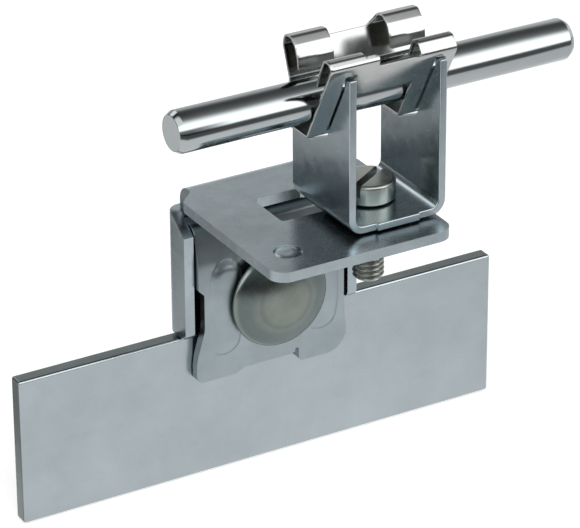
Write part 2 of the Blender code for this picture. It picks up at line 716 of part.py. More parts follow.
def build_spring_clip():
    axis = Vector((0.0, HOLDER_Y, ROD_Z))
    clip = outline_solid(
        "spring_clip", [sheet_section(clip_path(), CLIP_SHEET)], CLIP_WIDTH, FROM_SIDE,
        (CLIP_X, HOLDER_Y, ROD_Z), parts,
    )
    for name, left, right, near, back, low, high in clip_gaps():
        corner = Vector((left, near, low)) + axis
        opposite = Vector((right, back, high)) + axis
        combine(clip, block(name, corner, opposite, tools), "DIFFERENCE")
    horn_rear = HORN_DEPTH - HOLDER_DEPTH / 2
    slot_top = ROD_BELOW_LEG_TOP + 2 * CLEARANCE
    for side in (-1, 1):
        leg = HOLDER_RIGHT + side * (HOLDER_WIDTH - HOLDER_SHEET) / 2
        half = HOLDER_SHEET / 2 + CLEARANCE
        corner = Vector((leg - half, -HOLDER_DEPTH, horn_foot_level())) + axis
        opposite = Vector((leg + half, horn_rear + HORN_SLOT_MARGIN, slot_top)) + axis
        combine(clip, block("horn_slot", corner, opposite, tools), "DIFFERENCE")
    move_origin(clip, axis)
    finish(clip, material("clip_steel", BRIGHT_STEEL, 0.15))


def horn_foot_level():
    """Level above the rod's axis where the horn's rear edge meets the strap's line."""
    distance = CLIP_TOUCH + CLIP_SHEET / 2 + CLEARANCE
    rear = -HOLDER_DEPTH / 2 + HORN_DEPTH
    return (-distance - rear * cos(CLIP_SLOPE)) / sin(CLIP_SLOPE)


def notch_outline():
    """Cut-out of both legs, relative to the rod's axis."""
    distance = CLIP_TOUCH + CLIP_SHEET / 2 + CLEARANCE
    horn = -HOLDER_DEPTH / 2 + HORN_DEPTH
    rear = ROD_RADIUS + NOTCH_BEHIND_ROD
    clip_bottom = -ROD_RADIUS - CLIP_BELOW_ROD - CLIP_SHEET
    seat = clip_bottom - CLEARANCE
    floor = clip_bottom - NOTCH_BELOW_CLIP
    above = ROD_BELOW_LEG_TOP + HOLDER_SHEET
    return rounded([
        (horn, above, 0.0),
        (horn, horn_foot_level(), HORN_FOOT_RADIUS),
        (strap_line(seat, distance), seat, NOTCH_SEAT_RADIUS),
        (strap_line(seat, distance) + NOTCH_FRONT_RUN, floor, NOTCH_FRONT_RADIUS),
        (rear - NOTCH_REAR_RUN, floor, NOTCH_REAR_RADIUS),
        (rear, floor + NOTCH_REAR_RISE, NOTCH_REAR_RADIUS),
        (rear, above, 0.0),
    ], closed=True)


def build_holder_body():
    side = (HOLDER_WIDTH - HOLDER_SHEET) / 2
    base = HOLDER_BOTTOM + HOLDER_SHEET / 2
    bend = HOLDER_BEND + HOLDER_SHEET / 2
    u_path = [
        (-side, LEG_TOP, 0.0), (-side, base, bend), (side, base, bend), (side, LEG_TOP, 0.0),
    ]
    holder = outline_solid(
        "holder_body", [sheet_section(u_path, HOLDER_SHEET)], HOLDER_DEPTH, FROM_FRONT,
        (HOLDER_RIGHT, HOLDER_Y, 0), parts,
    )
    notch = outline_solid(
        "leg_notches", [notch_outline()], 2 * HOLDER_WIDTH, FROM_SIDE,
        (HOLDER_RIGHT, HOLDER_Y, ROD_Z), tools,
    )
    hole = cylinder(
        "base_hole", SCREW_DIAMETER / 2 + CLEARANCE, 6 * HOLDER_SHEET,
        Matrix.Translation((HOLDER_RIGHT, HOLDER_Y, base)),
    )
    front = HOLDER_Y - HOLDER_DEPTH / 2
    tab = block(
        "shear_tab",
        (HOLDER_RIGHT - TAB_WIDTH / 2, front - TAB_REACH, HOLDER_BOTTOM),
        (HOLDER_RIGHT + TAB_WIDTH / 2, front + HOLDER_SHEET, HOLDER_BOTTOM + HOLDER_SHEET),
        tools,
    )
    combine(holder, notch, "DIFFERENCE")
    combine(holder, tab, "UNION")
    combine(holder, hole, "DIFFERENCE")
    move_origin(holder, (HOLDER_RIGHT, HOLDER_Y, HOLDER_BOTTOM))
    finish(holder, material("holder_steel", STEEL, 0.3))


def build_screw():
    seat = HOLDER_BOTTOM + HOLDER_SHEET + CLEARANCE
    head = SCREW_HEAD_DIAMETER / 2
    radius = SCREW_DIAMETER / 2
    edge = SCREW_HEAD_HEIGHT / 10
    chamfer = radius / 5
    profile = [
        (0.0, SCREW_HEAD_HEIGHT), (head - edge, SCREW_HEAD_HEIGHT),
        (head - edge / 4, SCREW_HEAD_HEIGHT - edge), (head, SCREW_HEAD_HEIGHT - 2 * edge),
        (head, 0.0), (radius, 0.0), (radius, chamfer - SCREW_LENGTH),
        (radius - chamfer, -SCREW_LENGTH), (0.0, -SCREW_LENGTH),
    ]
    place = Vector((HOLDER_RIGHT, HOLDER_Y, seat))
    screw = turned_solid("cheese_head_screw_m6", profile, Matrix.Translation(place), parts)
    half = SCREW_SLOT_WIDTH / 2
    slot = block(
        "screw_slot",
        (-2 * head, -half, SCREW_HEAD_HEIGHT - SCREW_SLOT_DEPTH),
        (2 * head, half, 2 * SCREW_HEAD_HEIGHT),
        tools,
    )
    slot.matrix_world = Matrix.Translation(place) @ Matrix.Rotation(SCREW_SLOT_TURN, 4, "Z")
    combine(screw, slot, "DIFFERENCE")
    finish(screw, material("screw_steel", WARM_STEEL, 0.3))


def build_conductor_rod():
    profile = [
        (0.0, ROD_RIGHT), (ROD_RADIUS - ROD_CHAMFER, ROD_RIGHT),
        (ROD_RADIUS, ROD_RIGHT - ROD_CHAMFER), (ROD_RADIUS, ROD_CHAMFER - ROD_LEFT),
        (ROD_RADIUS - ROD_CHAMFER, -ROD_LEFT), (0.0, -ROD_LEFT),
    ]
    place = toward((HOLDER_RIGHT, HOLDER_Y, ROD_Z), (1, 0, 0))
    rod = turned_solid("conductor_rod", profile, place, parts)
    finish(rod, material("rod_steel", BRIGHT_STEEL, 0.2))


clear_scene()
parts = new_collection("roof_conductor_holder")
tools = new_collection("cutters")
build_seam_strip()
build_clamp_bracket()
build_front_jaw()
build_carriage_bolt()
build_lock_washer()
build_hex_nut()
build_holder_body()
build_spring_clip()
build_screw()
build_conductor_rod()
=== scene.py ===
"""Looks of the roof conductor holder: folded stainless steel under a light tent.

Every visible piece is made here in fine meshes that stand for the CAD nodes: sheets cut
and bent from flat outlines, turned pieces, threads, and copies of the folded CAD plates
with softened edges. The part's sizes are in millimetres, and the studio's in metres.
"""

from math import atan2, ceil, cos, hypot, pi, radians, sin, tan

import bmesh
import bpy
import numpy as np
from mathutils import Matrix, Vector, geometry
from mathutils.bvhtree import BVHTree


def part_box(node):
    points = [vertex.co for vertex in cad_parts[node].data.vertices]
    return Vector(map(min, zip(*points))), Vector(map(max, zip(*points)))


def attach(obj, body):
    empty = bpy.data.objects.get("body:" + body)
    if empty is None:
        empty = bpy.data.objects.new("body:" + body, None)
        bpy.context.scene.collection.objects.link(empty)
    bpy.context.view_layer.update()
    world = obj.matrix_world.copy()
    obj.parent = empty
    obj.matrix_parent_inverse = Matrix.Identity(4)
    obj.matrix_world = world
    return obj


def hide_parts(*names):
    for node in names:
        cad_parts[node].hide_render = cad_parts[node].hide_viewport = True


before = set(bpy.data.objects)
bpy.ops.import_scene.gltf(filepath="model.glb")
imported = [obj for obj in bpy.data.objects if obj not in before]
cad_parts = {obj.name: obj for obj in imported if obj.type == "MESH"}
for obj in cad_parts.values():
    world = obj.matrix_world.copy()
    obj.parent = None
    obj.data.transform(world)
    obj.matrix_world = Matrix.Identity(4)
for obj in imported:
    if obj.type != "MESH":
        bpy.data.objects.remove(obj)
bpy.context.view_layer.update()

MM = 0.001
GAP = 0.3                       # air between touching pieces, as in the CAD
BRACKET_SHEET = 2.0
HOLDER_SHEET = 1.5


def box_mm(node):
    low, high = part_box(node)
    return low / MM, high / MM


ROD_LOW, ROD_HIGH = box_mm("conductor_rod")
ROD_RADIUS = (ROD_HIGH.z - ROD_LOW.z) / 2
ROD_Y = (ROD_LOW.y + ROD_HIGH.y) / 2
ROD_Z = (ROD_LOW.z + ROD_HIGH.z) / 2
PLATE_LOW, PLATE_HIGH = box_mm("clamp_bracket")
PLATE_TOP = PLATE_HIGH.z
HOLDER_LOW, HOLDER_HIGH = box_mm("holder_body")
CLIP_LOW, CLIP_HIGH = box_mm("spring_clip")
JAW_LOW, JAW_HIGH = box_mm("front_jaw")
BOLT_LOW, BOLT_HIGH = box_mm("carriage_bolt_m8")
BOLT_Z = (BOLT_LOW.z + BOLT_HIGH.z) / 2
NUT_LOW, NUT_HIGH = box_mm("hex_nut_m8")
WASHER_LOW, WASHER_HIGH = box_mm("lock_washer_m8")
SCREW_LOW, SCREW_HIGH = box_mm("cheese_head_screw_m6")
SCREW_X = (SCREW_LOW.x + SCREW_HIGH.x) / 2
SCREW_Y = (SCREW_LOW.y + SCREW_HIGH.y) / 2
STRIP_LOW, STRIP_HIGH = box_mm("seam_strip")


# Shader nodes

def add_node(tree, kind, links=None, **settings):
    """Add a shader node; links gives each input a socket or a value."""
    made = tree.nodes.new("ShaderNode" + kind)
    for key, value in settings.items():
        setattr(made, key, value)
    for key, value in (links or {}).items():
        if isinstance(value, bpy.types.NodeSocket):
            tree.links.new(value, made.inputs[key])
        else:
            made.inputs[key].default_value = value
    return made


def noise(tree, vector, scale, detail, rough, stretch=(1, 1, 1)):
    mapped = add_node(tree, "Mapping", {"Vector": vector, "Scale": stretch})
    return add_node(tree, "TexNoise", {
        "Vector": mapped.outputs["Vector"], "Scale": scale, "Detail": detail,
        "Roughness": rough,
    }).outputs[0]


def spread(tree, value, low, high, start=0.3, end=0.7):
    """Go from low to high as a value goes from start to end; the rest is clamped."""
    return add_node(tree, "MapRange", {
        "Value": value, "From Min": start, "From Max": end, "To Min": low, "To Max": high,
    }).outputs[0]


def vector_math(tree, operation, *values):
    links = dict(enumerate(values))
    return add_node(tree, "VectorMath", links, operation=operation).outputs


def larger(tree, first, second):
    return add_node(tree, "Math", {0: first, 1: second}, operation="MAXIMUM").outputs[0]


def tinted(tree, share, under, over):
    """Lay a share of a colour over a colour or a socket."""
    return add_node(tree, "Mix", {"Factor": share, "A": under, "B": (*over, 1)},
                    data_type="RGBA").outputs[2]


def bumped(tree, height, depth, under=None, strength=1.0):
    """Bump of a depth in millimetres, on top of another bump."""
    links = {"Height": height, "Strength": strength, "Distance": depth * MM}
    if under is not None:
        links["Normal"] = under
    return add_node(tree, "Bump", links).outputs[0]


def in_metres(values):
    return [value * MM for value in values]


# Steel, with the scales of its noises for each metre

CLOUD_SCALE = 75.0
GRAIN_SCALE = 900.0
PATCH_SCALE = 380.0
SCRATCH_SCALE = 320.0
PIT_SCALE = 2600.0
RING_SCALE = 900.0
ROUGHNESS_RANGE = 0.16
SCRATCH_DEPTH = 0.002
RING_DEPTH = 0.012
LINE_SHADE = 0.5                # colour of the grain's lines, as a share of the steel's
# Colour of the painted shade beside and under other pieces, as a share of the steel's
PAINTED_SHADE_LEVEL = 0.1


def painted_shade_share(tree, place, centre, half, fade, share):
    """Share of a painted shade: whole inside a box, and fading away around it."""
    arm = vector_math(tree, "SUBTRACT", place, in_metres(centre))[0]
    arm = vector_math(tree, "ABSOLUTE", arm)[0]
    arm = vector_math(tree, "SUBTRACT", arm, in_metres(half))[0]
    arm = vector_math(tree, "MAXIMUM", arm, (0, 0, 0))[0]
    away = vector_math(tree, "LENGTH", arm)["Value"]
    return spread(tree, away, share, 0.0, *in_metres(fade))


def axis_distance(tree, place, point, across):
    """Distance in metres from an axis; across is 0 along it and 1 in other directions."""
    arm = vector_math(tree, "SUBTRACT", place, in_metres(point))[0]
    arm = vector_math(tree, "MULTIPLY", arm, across)[0]
    return vector_math(tree, "LENGTH", arm)["Value"]


def ring_shades(tree, radius, tones):
    """Painted shade in rings, by distance from the middle in centimetres; the first is the
    middle's.
    """
    centimetres = add_node(tree, "Math", {0: radius, 1: 100.0}, operation="MULTIPLY")
    ramp = add_node(tree, "ValToRGB", {"Fac": centimetres.outputs[0]})
    stops = ramp.color_ramp.elements
    stops.remove(stops[1])
    for at, tone in tones:
        stop = stops.new(at) if at else stops[0]
        stop.color = (*tone, 1)
    return ramp.outputs["Color"]


def steel(name, colour, rough, grain=(1, 1, 1), grain_depth=0.0005, wave_depth=0.012,
          tone=0.12, lining=0.05, pits=0.0, axis=None, ring_painted_shades=None, loop_shade=None,
          painted_shade=None):
    """Bare steel: slow blotches, rolling grain, faint waves and a few fine scratches.

    The grain is stretched along the axis where its scale is small. The colour varies by
    the share tone, the grain's lines show by the share lining, and pits are fine dents. A
    turned piece has fine rings round its axis and may get rings of painted shade. A mesh
    attribute lays a colour of painted shade on the clip's loop insides, and a painted shade
    fills a box and fades around it, where another piece stands or overhangs.
    """
    made = bpy.data.materials.new(name)
    made.use_nodes = True
    tree = made.node_tree
    shader = tree.nodes["Principled BSDF"]
    shader.inputs["Metallic"].default_value = 1.0
    place = add_node(tree, "TexCoord").outputs["Object"]
    cloud = noise(tree, place, CLOUD_SCALE, 4.0, 0.62)
    lines = noise(tree, place, GRAIN_SCALE, 3.0, 0.6, grain)
    patch = noise(tree, place, PATCH_SCALE, 3.0, 0.6)
    tree.links.new(spread(tree, patch, rough * (1 - ROUGHNESS_RANGE),
                          rough * (1 + ROUGHNESS_RANGE)), shader.inputs["Roughness"])

    dark = [c * (1 - tone) for c in colour]
    light = [min(1.0, c * (1 + tone)) for c in colour]
    final = tinted(tree, spread(tree, cloud, 0.0, 1.0), (*dark, 1), light)
    final = tinted(tree, spread(tree, lines, 0.0, lining), final,
                   [c * LINE_SHADE for c in colour])
    # Painted shade in a box where another piece stands or overhangs
    if painted_shade:
        final = tinted(tree, painted_shade_share(tree, place, **painted_shade), final,
                       [c * PAINTED_SHADE_LEVEL for c in colour])
    # Painted shade where the mesh attribute marks it, inside the clip's loops
    if loop_shade:
        depth = add_node(tree, "Attribute", attribute_name="loop_shade").outputs["Fac"]
        final = tinted(tree, depth, final, loop_shade)

    normal = bumped(tree, cloud, wave_depth)
    normal = bumped(tree, lines, grain_depth, normal)
    slant = add_node(tree, "Mapping", {
        "Vector": place, "Scale": (1, 0.05, 1), "Rotation": (0.4, 0.9, 0.5),
    }).outputs["Vector"]
    scratch = add_node(tree, "TexVoronoi", {"Vector": slant, "Scale": SCRATCH_SCALE},
                       feature="DISTANCE_TO_EDGE").outputs["Distance"]
    normal = bumped(tree, spread(tree, scratch, 0.0, 1.0, 0.0, 0.02), SCRATCH_DEPTH,
                    normal, strength=0.15)
    if pits:
        normal = bumped(tree, noise(tree, place, PIT_SCALE, 2.0, 0.6), pits, normal)
    if axis:
        radius = axis_distance(tree, place, *axis)
        rings_noise = add_node(tree, "TexNoise", {
            "W": radius, "Scale": RING_SCALE, "Detail": 3.0,
        }, noise_dimensions="1D").outputs[0]
        normal = bumped(tree, rings_noise, RING_DEPTH, normal)
        # Rings of painted shade about the axis
        if ring_painted_shades:
            shades = ring_shades(tree, radius, ring_painted_shades)
            final = add_node(tree, "Mix", {"Factor": 1.0, "A": final, "B": shades},
                             data_type="RGBA", blend_type="MULTIPLY").outputs[2]
    tree.links.new(final, shader.inputs["Base Color"])
    tree.links.new(normal, shader.inputs["Normal"])
    return made


STRIP_STEEL = steel("strip_surface", (0.44, 0.495, 0.52), 0.24, (0.03, 1, 1), tone=0.06,
                    lining=0.03, wave_depth=0.02)
STRIP_EDGE = steel("strip_edge", (0.20, 0.235, 0.235), 0.26, (0.03, 1, 1), tone=0.2)
# The plate gets a painted shade around the holder's foot
PLATE_STEEL = steel("plate_surface", (0.41, 0.475, 0.505), 0.26, (1, 1, 0.05), tone=0.14,
                    painted_shade={"centre": (SCREW_X - 1.5, SCREW_Y - 1.0, PLATE_TOP),
                             "half": (7.5, 10.5, 0.2), "fade": (1.6, 4.5), "share": 0.72})
# The jaw gets a painted shade on its upper part, fading down from under the plate
JAW_STEEL = steel("jaw_surface", (0.36, 0.42, 0.445), 0.34, (1, 1, 0.05), tone=0.1,
                  painted_shade={"centre": (0, JAW_LOW.y, JAW_HIGH.z),
                           "half": (20, 5, 0.5), "fade": (2.0, 17.0), "share": 0.5})
HOLDER_STEEL = steel("holder_surface", (0.45, 0.52, 0.55), 0.24, (1, 0.05, 1), tone=0.12)
CUT_STEEL = steel("cut_edge", (0.47, 0.5, 0.49), 0.4, grain_depth=0.01,
                  wave_depth=0.03, tone=0.2, pits=0.015)
# A darker copy of the cut steel, for painted shade on some cut edges
SHADED_CUT_STEEL = steel("shaded_cut_edge", (0.3, 0.34, 0.35), 0.36, grain_depth=0.01,
                   wave_depth=0.03, tone=0.2, pits=0.01)
# The clip's loops get a dark olive painted shade inside
SPRING_STEEL = steel("spring_surface", (0.515, 0.53, 0.525), 0.16, (0.1, 1, 1),
                     wave_depth=0.004, tone=0.05, lining=0.03,
                     loop_shade=(0.10, 0.092, 0.066))
SPRING_EDGE = steel("spring_edge", (0.6, 0.61, 0.62), 0.25, tone=0.08)
# The bolt's head gets rings of painted shade: darker towards the rim, lighter at its edge
BOLT_STEEL = steel("bolt_surface", (0.255, 0.29, 0.265), 0.26, tone=0.12, pits=0.001,
                   axis=((0, 0, BOLT_Z), (1, 0, 1)),
                   ring_painted_shades=((0.0, (0.95, 0.93, 0.92)), (0.3, (1.0, 1.0, 1.0)),
                               (0.45, (0.93, 0.93, 0.93)), (0.53, (0.74, 0.76, 0.78)),
                               (0.6, (0.84, 0.86, 0.88)), (0.74, (0.62, 0.67, 0.72)),
                               (0.92, (0.58, 0.64, 0.69)), (0.98, (0.9, 0.92, 0.94))))
SCREW_STEEL = steel("screw_surface", (0.38, 0.395, 0.365), 0.24, tone=0.1, pits=0.002,
                    axis=((SCREW_X, SCREW_Y, 0), (1, 1, 0)))
NUT_STEEL = steel("nut_surface", (0.38, 0.41, 0.41), 0.28, tone=0.1, pits=0.003)
ROD_STEEL = steel("rod_surface", (0.45, 0.485, 0.495), 0.12, (0.02, 1, 1),
                  wave_depth=0.004, tone=0.04, lining=0.03)


# Outlines and paths

def corner_arc(before, corner, after, radius, step):
    to_before = (before - corner).normalized()
    to_after = (after - corner).normalized()
    turn = pi - to_before.angle(to_after)
    if radius <= 0 or turn < radians(0.5):
        return [corner]
    reach = radius * tan(turn / 2)
    centre = corner + (to_before + to_after).normalized() * (radius / cos(turn / 2))
    start = corner + to_before * reach - centre
    sign = 1 if to_before.x * to_after.y - to_before.y * to_after.x < 0 else -1
    count = max(2, ceil(turn / step))
    return [centre + Matrix.Rotation(sign * turn * i / count, 2) @ start
            for i in range(count + 1)]


def rounded(points, closed, step=radians(7)):
    """Round each (u, v, radius) corner; an open path keeps its two ends."""
    places = [Vector(p[:2]) for p in points]
    count = len(places)
    result = []
    for i, point in enumerate(points):
        if not closed and i in (0, count - 1):
            result.append(places[i])
            continue
        after = places[(i + 1) % count]
        result += corner_arc(places[i - 1], places[i], after, point[2], step)
    return result


class Path:
    """A sheet's middle line in a side view, measured along its length."""

    def __init__(self, corners, spacing):
        line = rounded(corners, closed=False)
        points = [line[0]]
        for point in line[1:]:
            run = (point - points[-1]).length
            if run < 1e-6:
                continue
            count = max(1, round(run / spacing))
            last = points[-1]
            points += [last.lerp(point, i / count) for i in range(1, count + 1)]
        self.points = np.array([tuple(p) for p in points])
        steps = np.hypot(*np.diff(self.points, axis=0).T)
        self.lengths = np.concatenate([[0.0], np.cumsum(steps)])

    def at(self, length):
        return Vector([float(np.interp(length, self.lengths, self.points[:, i]))
                       for i in (0, 1)])

    def length_at(self, level, first, last):
        """Length where the line crosses a level, between two shares of the whole."""
        whole = self.lengths[-1]
        for i in range(len(self.lengths) - 1):
            low, high = self.lengths[i], self.lengths[i + 1]
            a, b = self.points[i, 1], self.points[i + 1, 1]
            searched = first * whole <= low and high <= last * whole
            if searched and (a - level) * (b - level) <= 0 and a != b:
                return low + (high - low) * (level - a) / (b - a)
        raise ValueError("the path doesn't cross the level")


def spaced(low, high, step):
    count = max(1, ceil((high - low) / step))
    return [low + (high - low) * i / count for i in range(count + 1)]


# Sheets cut flat and bent

SHORTEST_EDGE = 0.08            # a border's edges aren't divided below this
BORDER_CLEARANCE = 0.16         # the inner points keep this far from a border


def inside(loops, points):
    """Even-odd test of many points against closed loops."""
    result = np.zeros(len(points), bool)
    u, v = points[:, 0], points[:, 1]
    for loop in loops:
        ring = np.array([tuple(p) for p in loop])
        for (u1, v1), (u2, v2) in zip(ring, np.roll(ring, -1, axis=0)):
            if v1 == v2:
                continue
            spans = (v1 > v) != (v2 > v)
            result ^= spans & (u < (u2 - u1) * (v - v1) / (v2 - v1) + u1)
    return result


def border_distance(loops, points):
    nearest = np.full(len(points), np.inf)
    for loop in loops:
        ring = np.array([tuple(p) for p in loop])
        for start, end in zip(ring, np.roll(ring, -1, axis=0)):
            along = end - start
            size = along @ along
            if size < 1e-12:
                continue
            share = np.clip((points - start) @ along / size, 0, 1)
            gap = points - start - share[:, None] * along
            nearest = np.minimum(nearest, np.hypot(gap[:, 0], gap[:, 1]))
    return nearest


def divided(loop, lines_u, lines_v):
    """Add points where a loop's edges cross the grid's lines."""
    result = []
    count = len(loop)
    for i in range(count):
        a, b = Vector(loop[i]), Vector(loop[(i + 1) % count])
        shares = [0.0]
        for axis, lines in ((0, lines_u), (1, lines_v)):
            run = b[axis] - a[axis]
            if abs(run) > 1e-6:
                shares += [(line - a[axis]) / run for line in lines]
        length = max((b - a).length, 1e-9)
        last = -1.0
        for share in sorted(s for s in shares if 0.0 <= s < 1.0):
            from_last, to_end = (share - last) * length, (1 - share) * length
            if from_last > SHORTEST_EDGE and (share == 0 or to_end > SHORTEST_EDGE):
                result.append(a.lerp(b, share))
                last = share
    return result


def sheet_object(name, loops, lines_u, lines_v, place, thickness, edge):
    """A sheet cut to flat loops, carried to its place point by point, then thickened."""
    loops = [divided(loop, lines_u, lines_v) for loop in loops]
    flat = []
    edges = []
    for loop in loops:
        start = len(flat)
        flat += [tuple(p) for p in loop]
        count = len(loop)
        edges += [(start + i, start + (i + 1) % count) for i in range(count)]
    grid = np.array([(u, v) for u in lines_u for v in lines_v])
    keep = inside(loops, grid) & (border_distance(loops, grid) > BORDER_CLEARANCE)
    flat += [tuple(p) for p in grid[keep]]
    verts, _, faces, *_ = geometry.delaunay_2d_cdt(
        [Vector(p) for p in flat], edges, [], 0, 1e-5)
    spots = np.array([tuple(v) for v in verts])
    centres = np.array([spots[list(f)].mean(axis=0) for f in faces])
    chosen = [f for f, ok in zip(faces, inside(loops, centres)) if ok]
    mesh = bpy.data.meshes.new(name)
    mesh.from_pydata([place(*p) * MM for p in spots], [], chosen)
    work = bmesh.new()
    work.from_mesh(mesh)
    loose = [v for v in work.verts if not v.link_faces]
    bmesh.ops.delete(work, geom=loose, context="VERTS")
    bmesh.ops.join_triangles(work, faces=work.faces, angle_face_threshold=radians(25),
                             angle_shape_threshold=radians(35))
    work.to_mesh(mesh)
    work.free()
    made = link(name, mesh)
    thick = made.modifiers.new("Thickness", "SOLIDIFY")
    thick.thickness = thickness * MM
    thick.offset = 0.0
    thick.use_even_offset = True
    thick.material_offset_rim = 1
    soften(made, edge)
    return made


# Objects

def link(name, mesh):
    made = bpy.data.objects.new(name, mesh)
    bpy.context.scene.collection.objects.link(made)
    return made


def soften(item, width, segments=2):
    """Round an object's sharp edges."""
    item.data.shade_smooth()
    edge = item.modifiers.new("Edge", "BEVEL")
    edge.width = width * MM
    edge.segments = segments
    edge.limit_method = "ANGLE"
    edge.angle_limit = radians(40)
    even = item.modifiers.new("Normals", "WEIGHTED_NORMAL")
    even.mode = "FACE_AREA_WITH_ANGLE"
    even.weight = 100
    return item


def baked(item, sharp=None):
    """Apply an object's modifiers; an angle given shades it smooth up to that angle."""
    bpy.context.view_layer.update()
    evaluated = item.evaluated_get(bpy.context.evaluated_depsgraph_get())
    mesh = bpy.data.meshes.new_from_object(evaluated)
    item.modifiers.clear()
    item.data = mesh
    if sharp is not None:
        mesh.shade_smooth()
        mesh.set_sharp_from_angle(angle=sharp)
    return item


def dress(item, body, slot, node, *materials):
    """Give a piece its materials and body, and hide the CAD node it stands for; the slot is
    not used.
    """
    item.data.materials.clear()
    for made in materials:
        item.data.materials.append(made)
    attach(item, body)
    if node:
        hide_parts(node)
    return item


def folded_copy(name, node, thickness, edge):
    """Copy of a folded CAD sheet: welded, its cut edges marked, its edges softened."""
    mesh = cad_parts[node].data.copy()
    mesh.name = name
    work = bmesh.new()
    work.from_mesh(mesh)
    bmesh.ops.remove_doubles(work, verts=work.verts, dist=0.002 * MM)
    bmesh.ops.triangulate(work, faces=work.faces)
    bmesh.ops.recalc_face_normals(work, faces=work.faces)
    tree = BVHTree.FromBMesh(work)
    for face in work.faces:
        inward = -face.normal
        hit = tree.ray_cast(face.calc_center_median() + inward * 0.02 * MM, inward)
        thin = hit[3] is not None and hit[3] < 1.25 * thickness * MM
        face.material_index = 0 if thin else 1
    bmesh.ops.dissolve_limit(work, angle_limit=radians(1), verts=work.verts,
                             edges=work.edges, delimit={"MATERIAL"})
    work.to_mesh(mesh)
    work.free()
    if "custom_normal" in mesh.attributes:
        mesh.attributes.remove(mesh.attributes["custom_normal"])
    return soften(link(name, mesh), edge, segments=3)


def rings(name, sections, closed=False):
    """Loft through rings of equal count; the ends are capped, or joined if closed."""
    count = len(sections[0])
    verts = [tuple(p * MM) for ring in sections for p in ring]
    faces = []
    last = len(sections) if closed else len(sections) - 1
    for i in range(last):
        a = i * count
        b = (i + 1) % len(sections) * count
        for j in range(count):
            k = (j + 1) % count
            faces.append((a + j, a + k, b + k, b + j))
    if not closed:
        faces.append(tuple(range(count))[::-1])
        faces.append(tuple(len(verts) - count + j for j in range(count)))
    mesh = bpy.data.meshes.new(name)
    mesh.from_pydata(verts, [], faces)
    work = bmesh.new()
    work.from_mesh(mesh)
    bmesh.ops.recalc_face_normals(work, faces=work.faces)
    work.to_mesh(mesh)
    work.free()
    return link(name, mesh)


def toward(place, direction):
    """Matrix that carries local Z to a direction, from a place."""
    turn = Vector(direction).to_track_quat("Z", "Y").to_matrix().to_4x4()
    return Matrix.Translation(place) @ turn


ON_AXIS = 0.02                  # a turned profile comes this near to its axis


def turned(name, profile, matrix, steps=96):
    """Turn (radius, height) pairs about local Z."""
    sections = []
    for radius, height in profile:
        ring = [Vector((radius * cos(2 * pi * i / steps), radius * sin(2 * pi * i / steps),
                        height)) for i in range(steps)]
        sections.append([matrix @ p for p in ring])
    return rings(name, sections)


def thread_cut(height, turn, pitch, depth):
    """How deep a right-hand thread is at a height and a share of one turn."""
    phase = (height / pitch - turn) % 1.0
    ridge = abs(2 * phase - 1)
    return depth * min(1.0, max(0.0, 1.25 * ridge - 0.1))


THREAD_STEPS = 64               # points round the thread
THREAD_ROWS = 10                # rows for each pitch


def threaded(name, radius, pitch, top, bottom, start, matrix, chamfer):
    """Shank with a thread from start down to bottom, plain above, chamfered at its end."""
    depth = 0.6 * pitch
    count = ceil((start - bottom) / pitch * THREAD_ROWS)
    levels = [top, start] + [start - (start - bottom) * i / count
                             for i in range(1, count + 1)]
    sections = []
    for level in levels:
        fade = min(1.0, max(0.0, (start - level) / pitch))
        cap = radius - max(0.0, chamfer - (level - bottom))
        ring = []
        for i in range(THREAD_STEPS):
            turn = i / THREAD_STEPS
            cut = thread_cut(level, turn, pitch, depth) * fade
            here = min(cap, radius - cut)
            ring.append(matrix @ Vector((here * cos(2 * pi * turn),
                                         here * sin(2 * pi * turn), level)))
        sections.append(ring)
    return rings(name, sections)


def block(name, low, high):
    mesh = bpy.data.meshes.new(name)
    work = bmesh.new()
    bmesh.ops.create_cube(work, size=1.0)
    low, high = Vector(low), Vector(high)
    matrix = Matrix.Translation((low + high) / 2 * MM) @ Matrix.Diagonal(
        (*((high - low) * MM), 1.0))
    bmesh.ops.transform(work, matrix=matrix, verts=work.verts)
    work.to_mesh(mesh)
    work.free()
    return link(name, mesh)


def cut_away(item, tool):
    """Take a tool's volume out of an object; the tool is removed."""
    change = item.modifiers.new("Cut", "BOOLEAN")
    change.operation = "DIFFERENCE"
    change.solver = "EXACT"
    change.object = tool
    baked(item)
    bpy.data.objects.remove(tool, do_unlink=True)


# Seam strip

def make_strip():
    strip = block("seam_strip_finish", STRIP_LOW, STRIP_HIGH)
    soften(strip, 0.5, segments=5)
    baked(strip)
    dress(strip, "bracket", "strip_steel", "seam_strip", STRIP_STEEL, STRIP_EDGE)
    for face in strip.data.polygons:
        face.material_index = 1 if abs(face.normal.y) < 0.5 else 0


# Clamp bracket, and the low dome inside its punched ring mark

MARK_RADIUS = 2.7
MARK_DEPTH = 0.3
MARK_X = -12.3
MARK_Y = PLATE_LOW.y + 7.2
DOME_RADIUS = MARK_RADIUS - 0.3
DOME_SUNK = 0.2                 # how far the dome goes into the plate


def make_bracket():
    bracket = folded_copy("clamp_bracket_finish", "clamp_bracket", BRACKET_SHEET, 0.3)
    baked(bracket)
    dress(bracket, "bracket", "bracket_steel", "clamp_bracket", PLATE_STEEL, CUT_STEEL,
          SHADED_CUT_STEEL)
    under_plate = PLATE_TOP - BRACKET_SHEET - 0.5
    for face in bracket.data.polygons:
        # Painted shade: cut edges below the plate, and those that face left, get the darker
        # copy
        below = face.center.z < under_plate * MM
        if face.material_index == 1 and (below or face.normal.x < -0.6):
            face.material_index = 2


def make_mark():
    bed = PLATE_TOP - MARK_DEPTH
    profile = [
        (ON_AXIS, bed - DOME_SUNK), (DOME_RADIUS, bed - DOME_SUNK), (DOME_RADIUS, bed + 0.05),
        (DOME_RADIUS - 0.4, bed + 0.22), (DOME_RADIUS - 0.9, bed + 0.28), (0.7, bed + 0.28),
        (ON_AXIS, bed + 0.25),
    ]
    mark = turned("plate_mark_core", profile, Matrix.Translation((MARK_X, MARK_Y, 0)), 48)
    baked(mark, radians(50))
    dress(mark, "bracket", "bracket_steel", None, PLATE_STEEL)


# Front jaw, pressed with two ribs

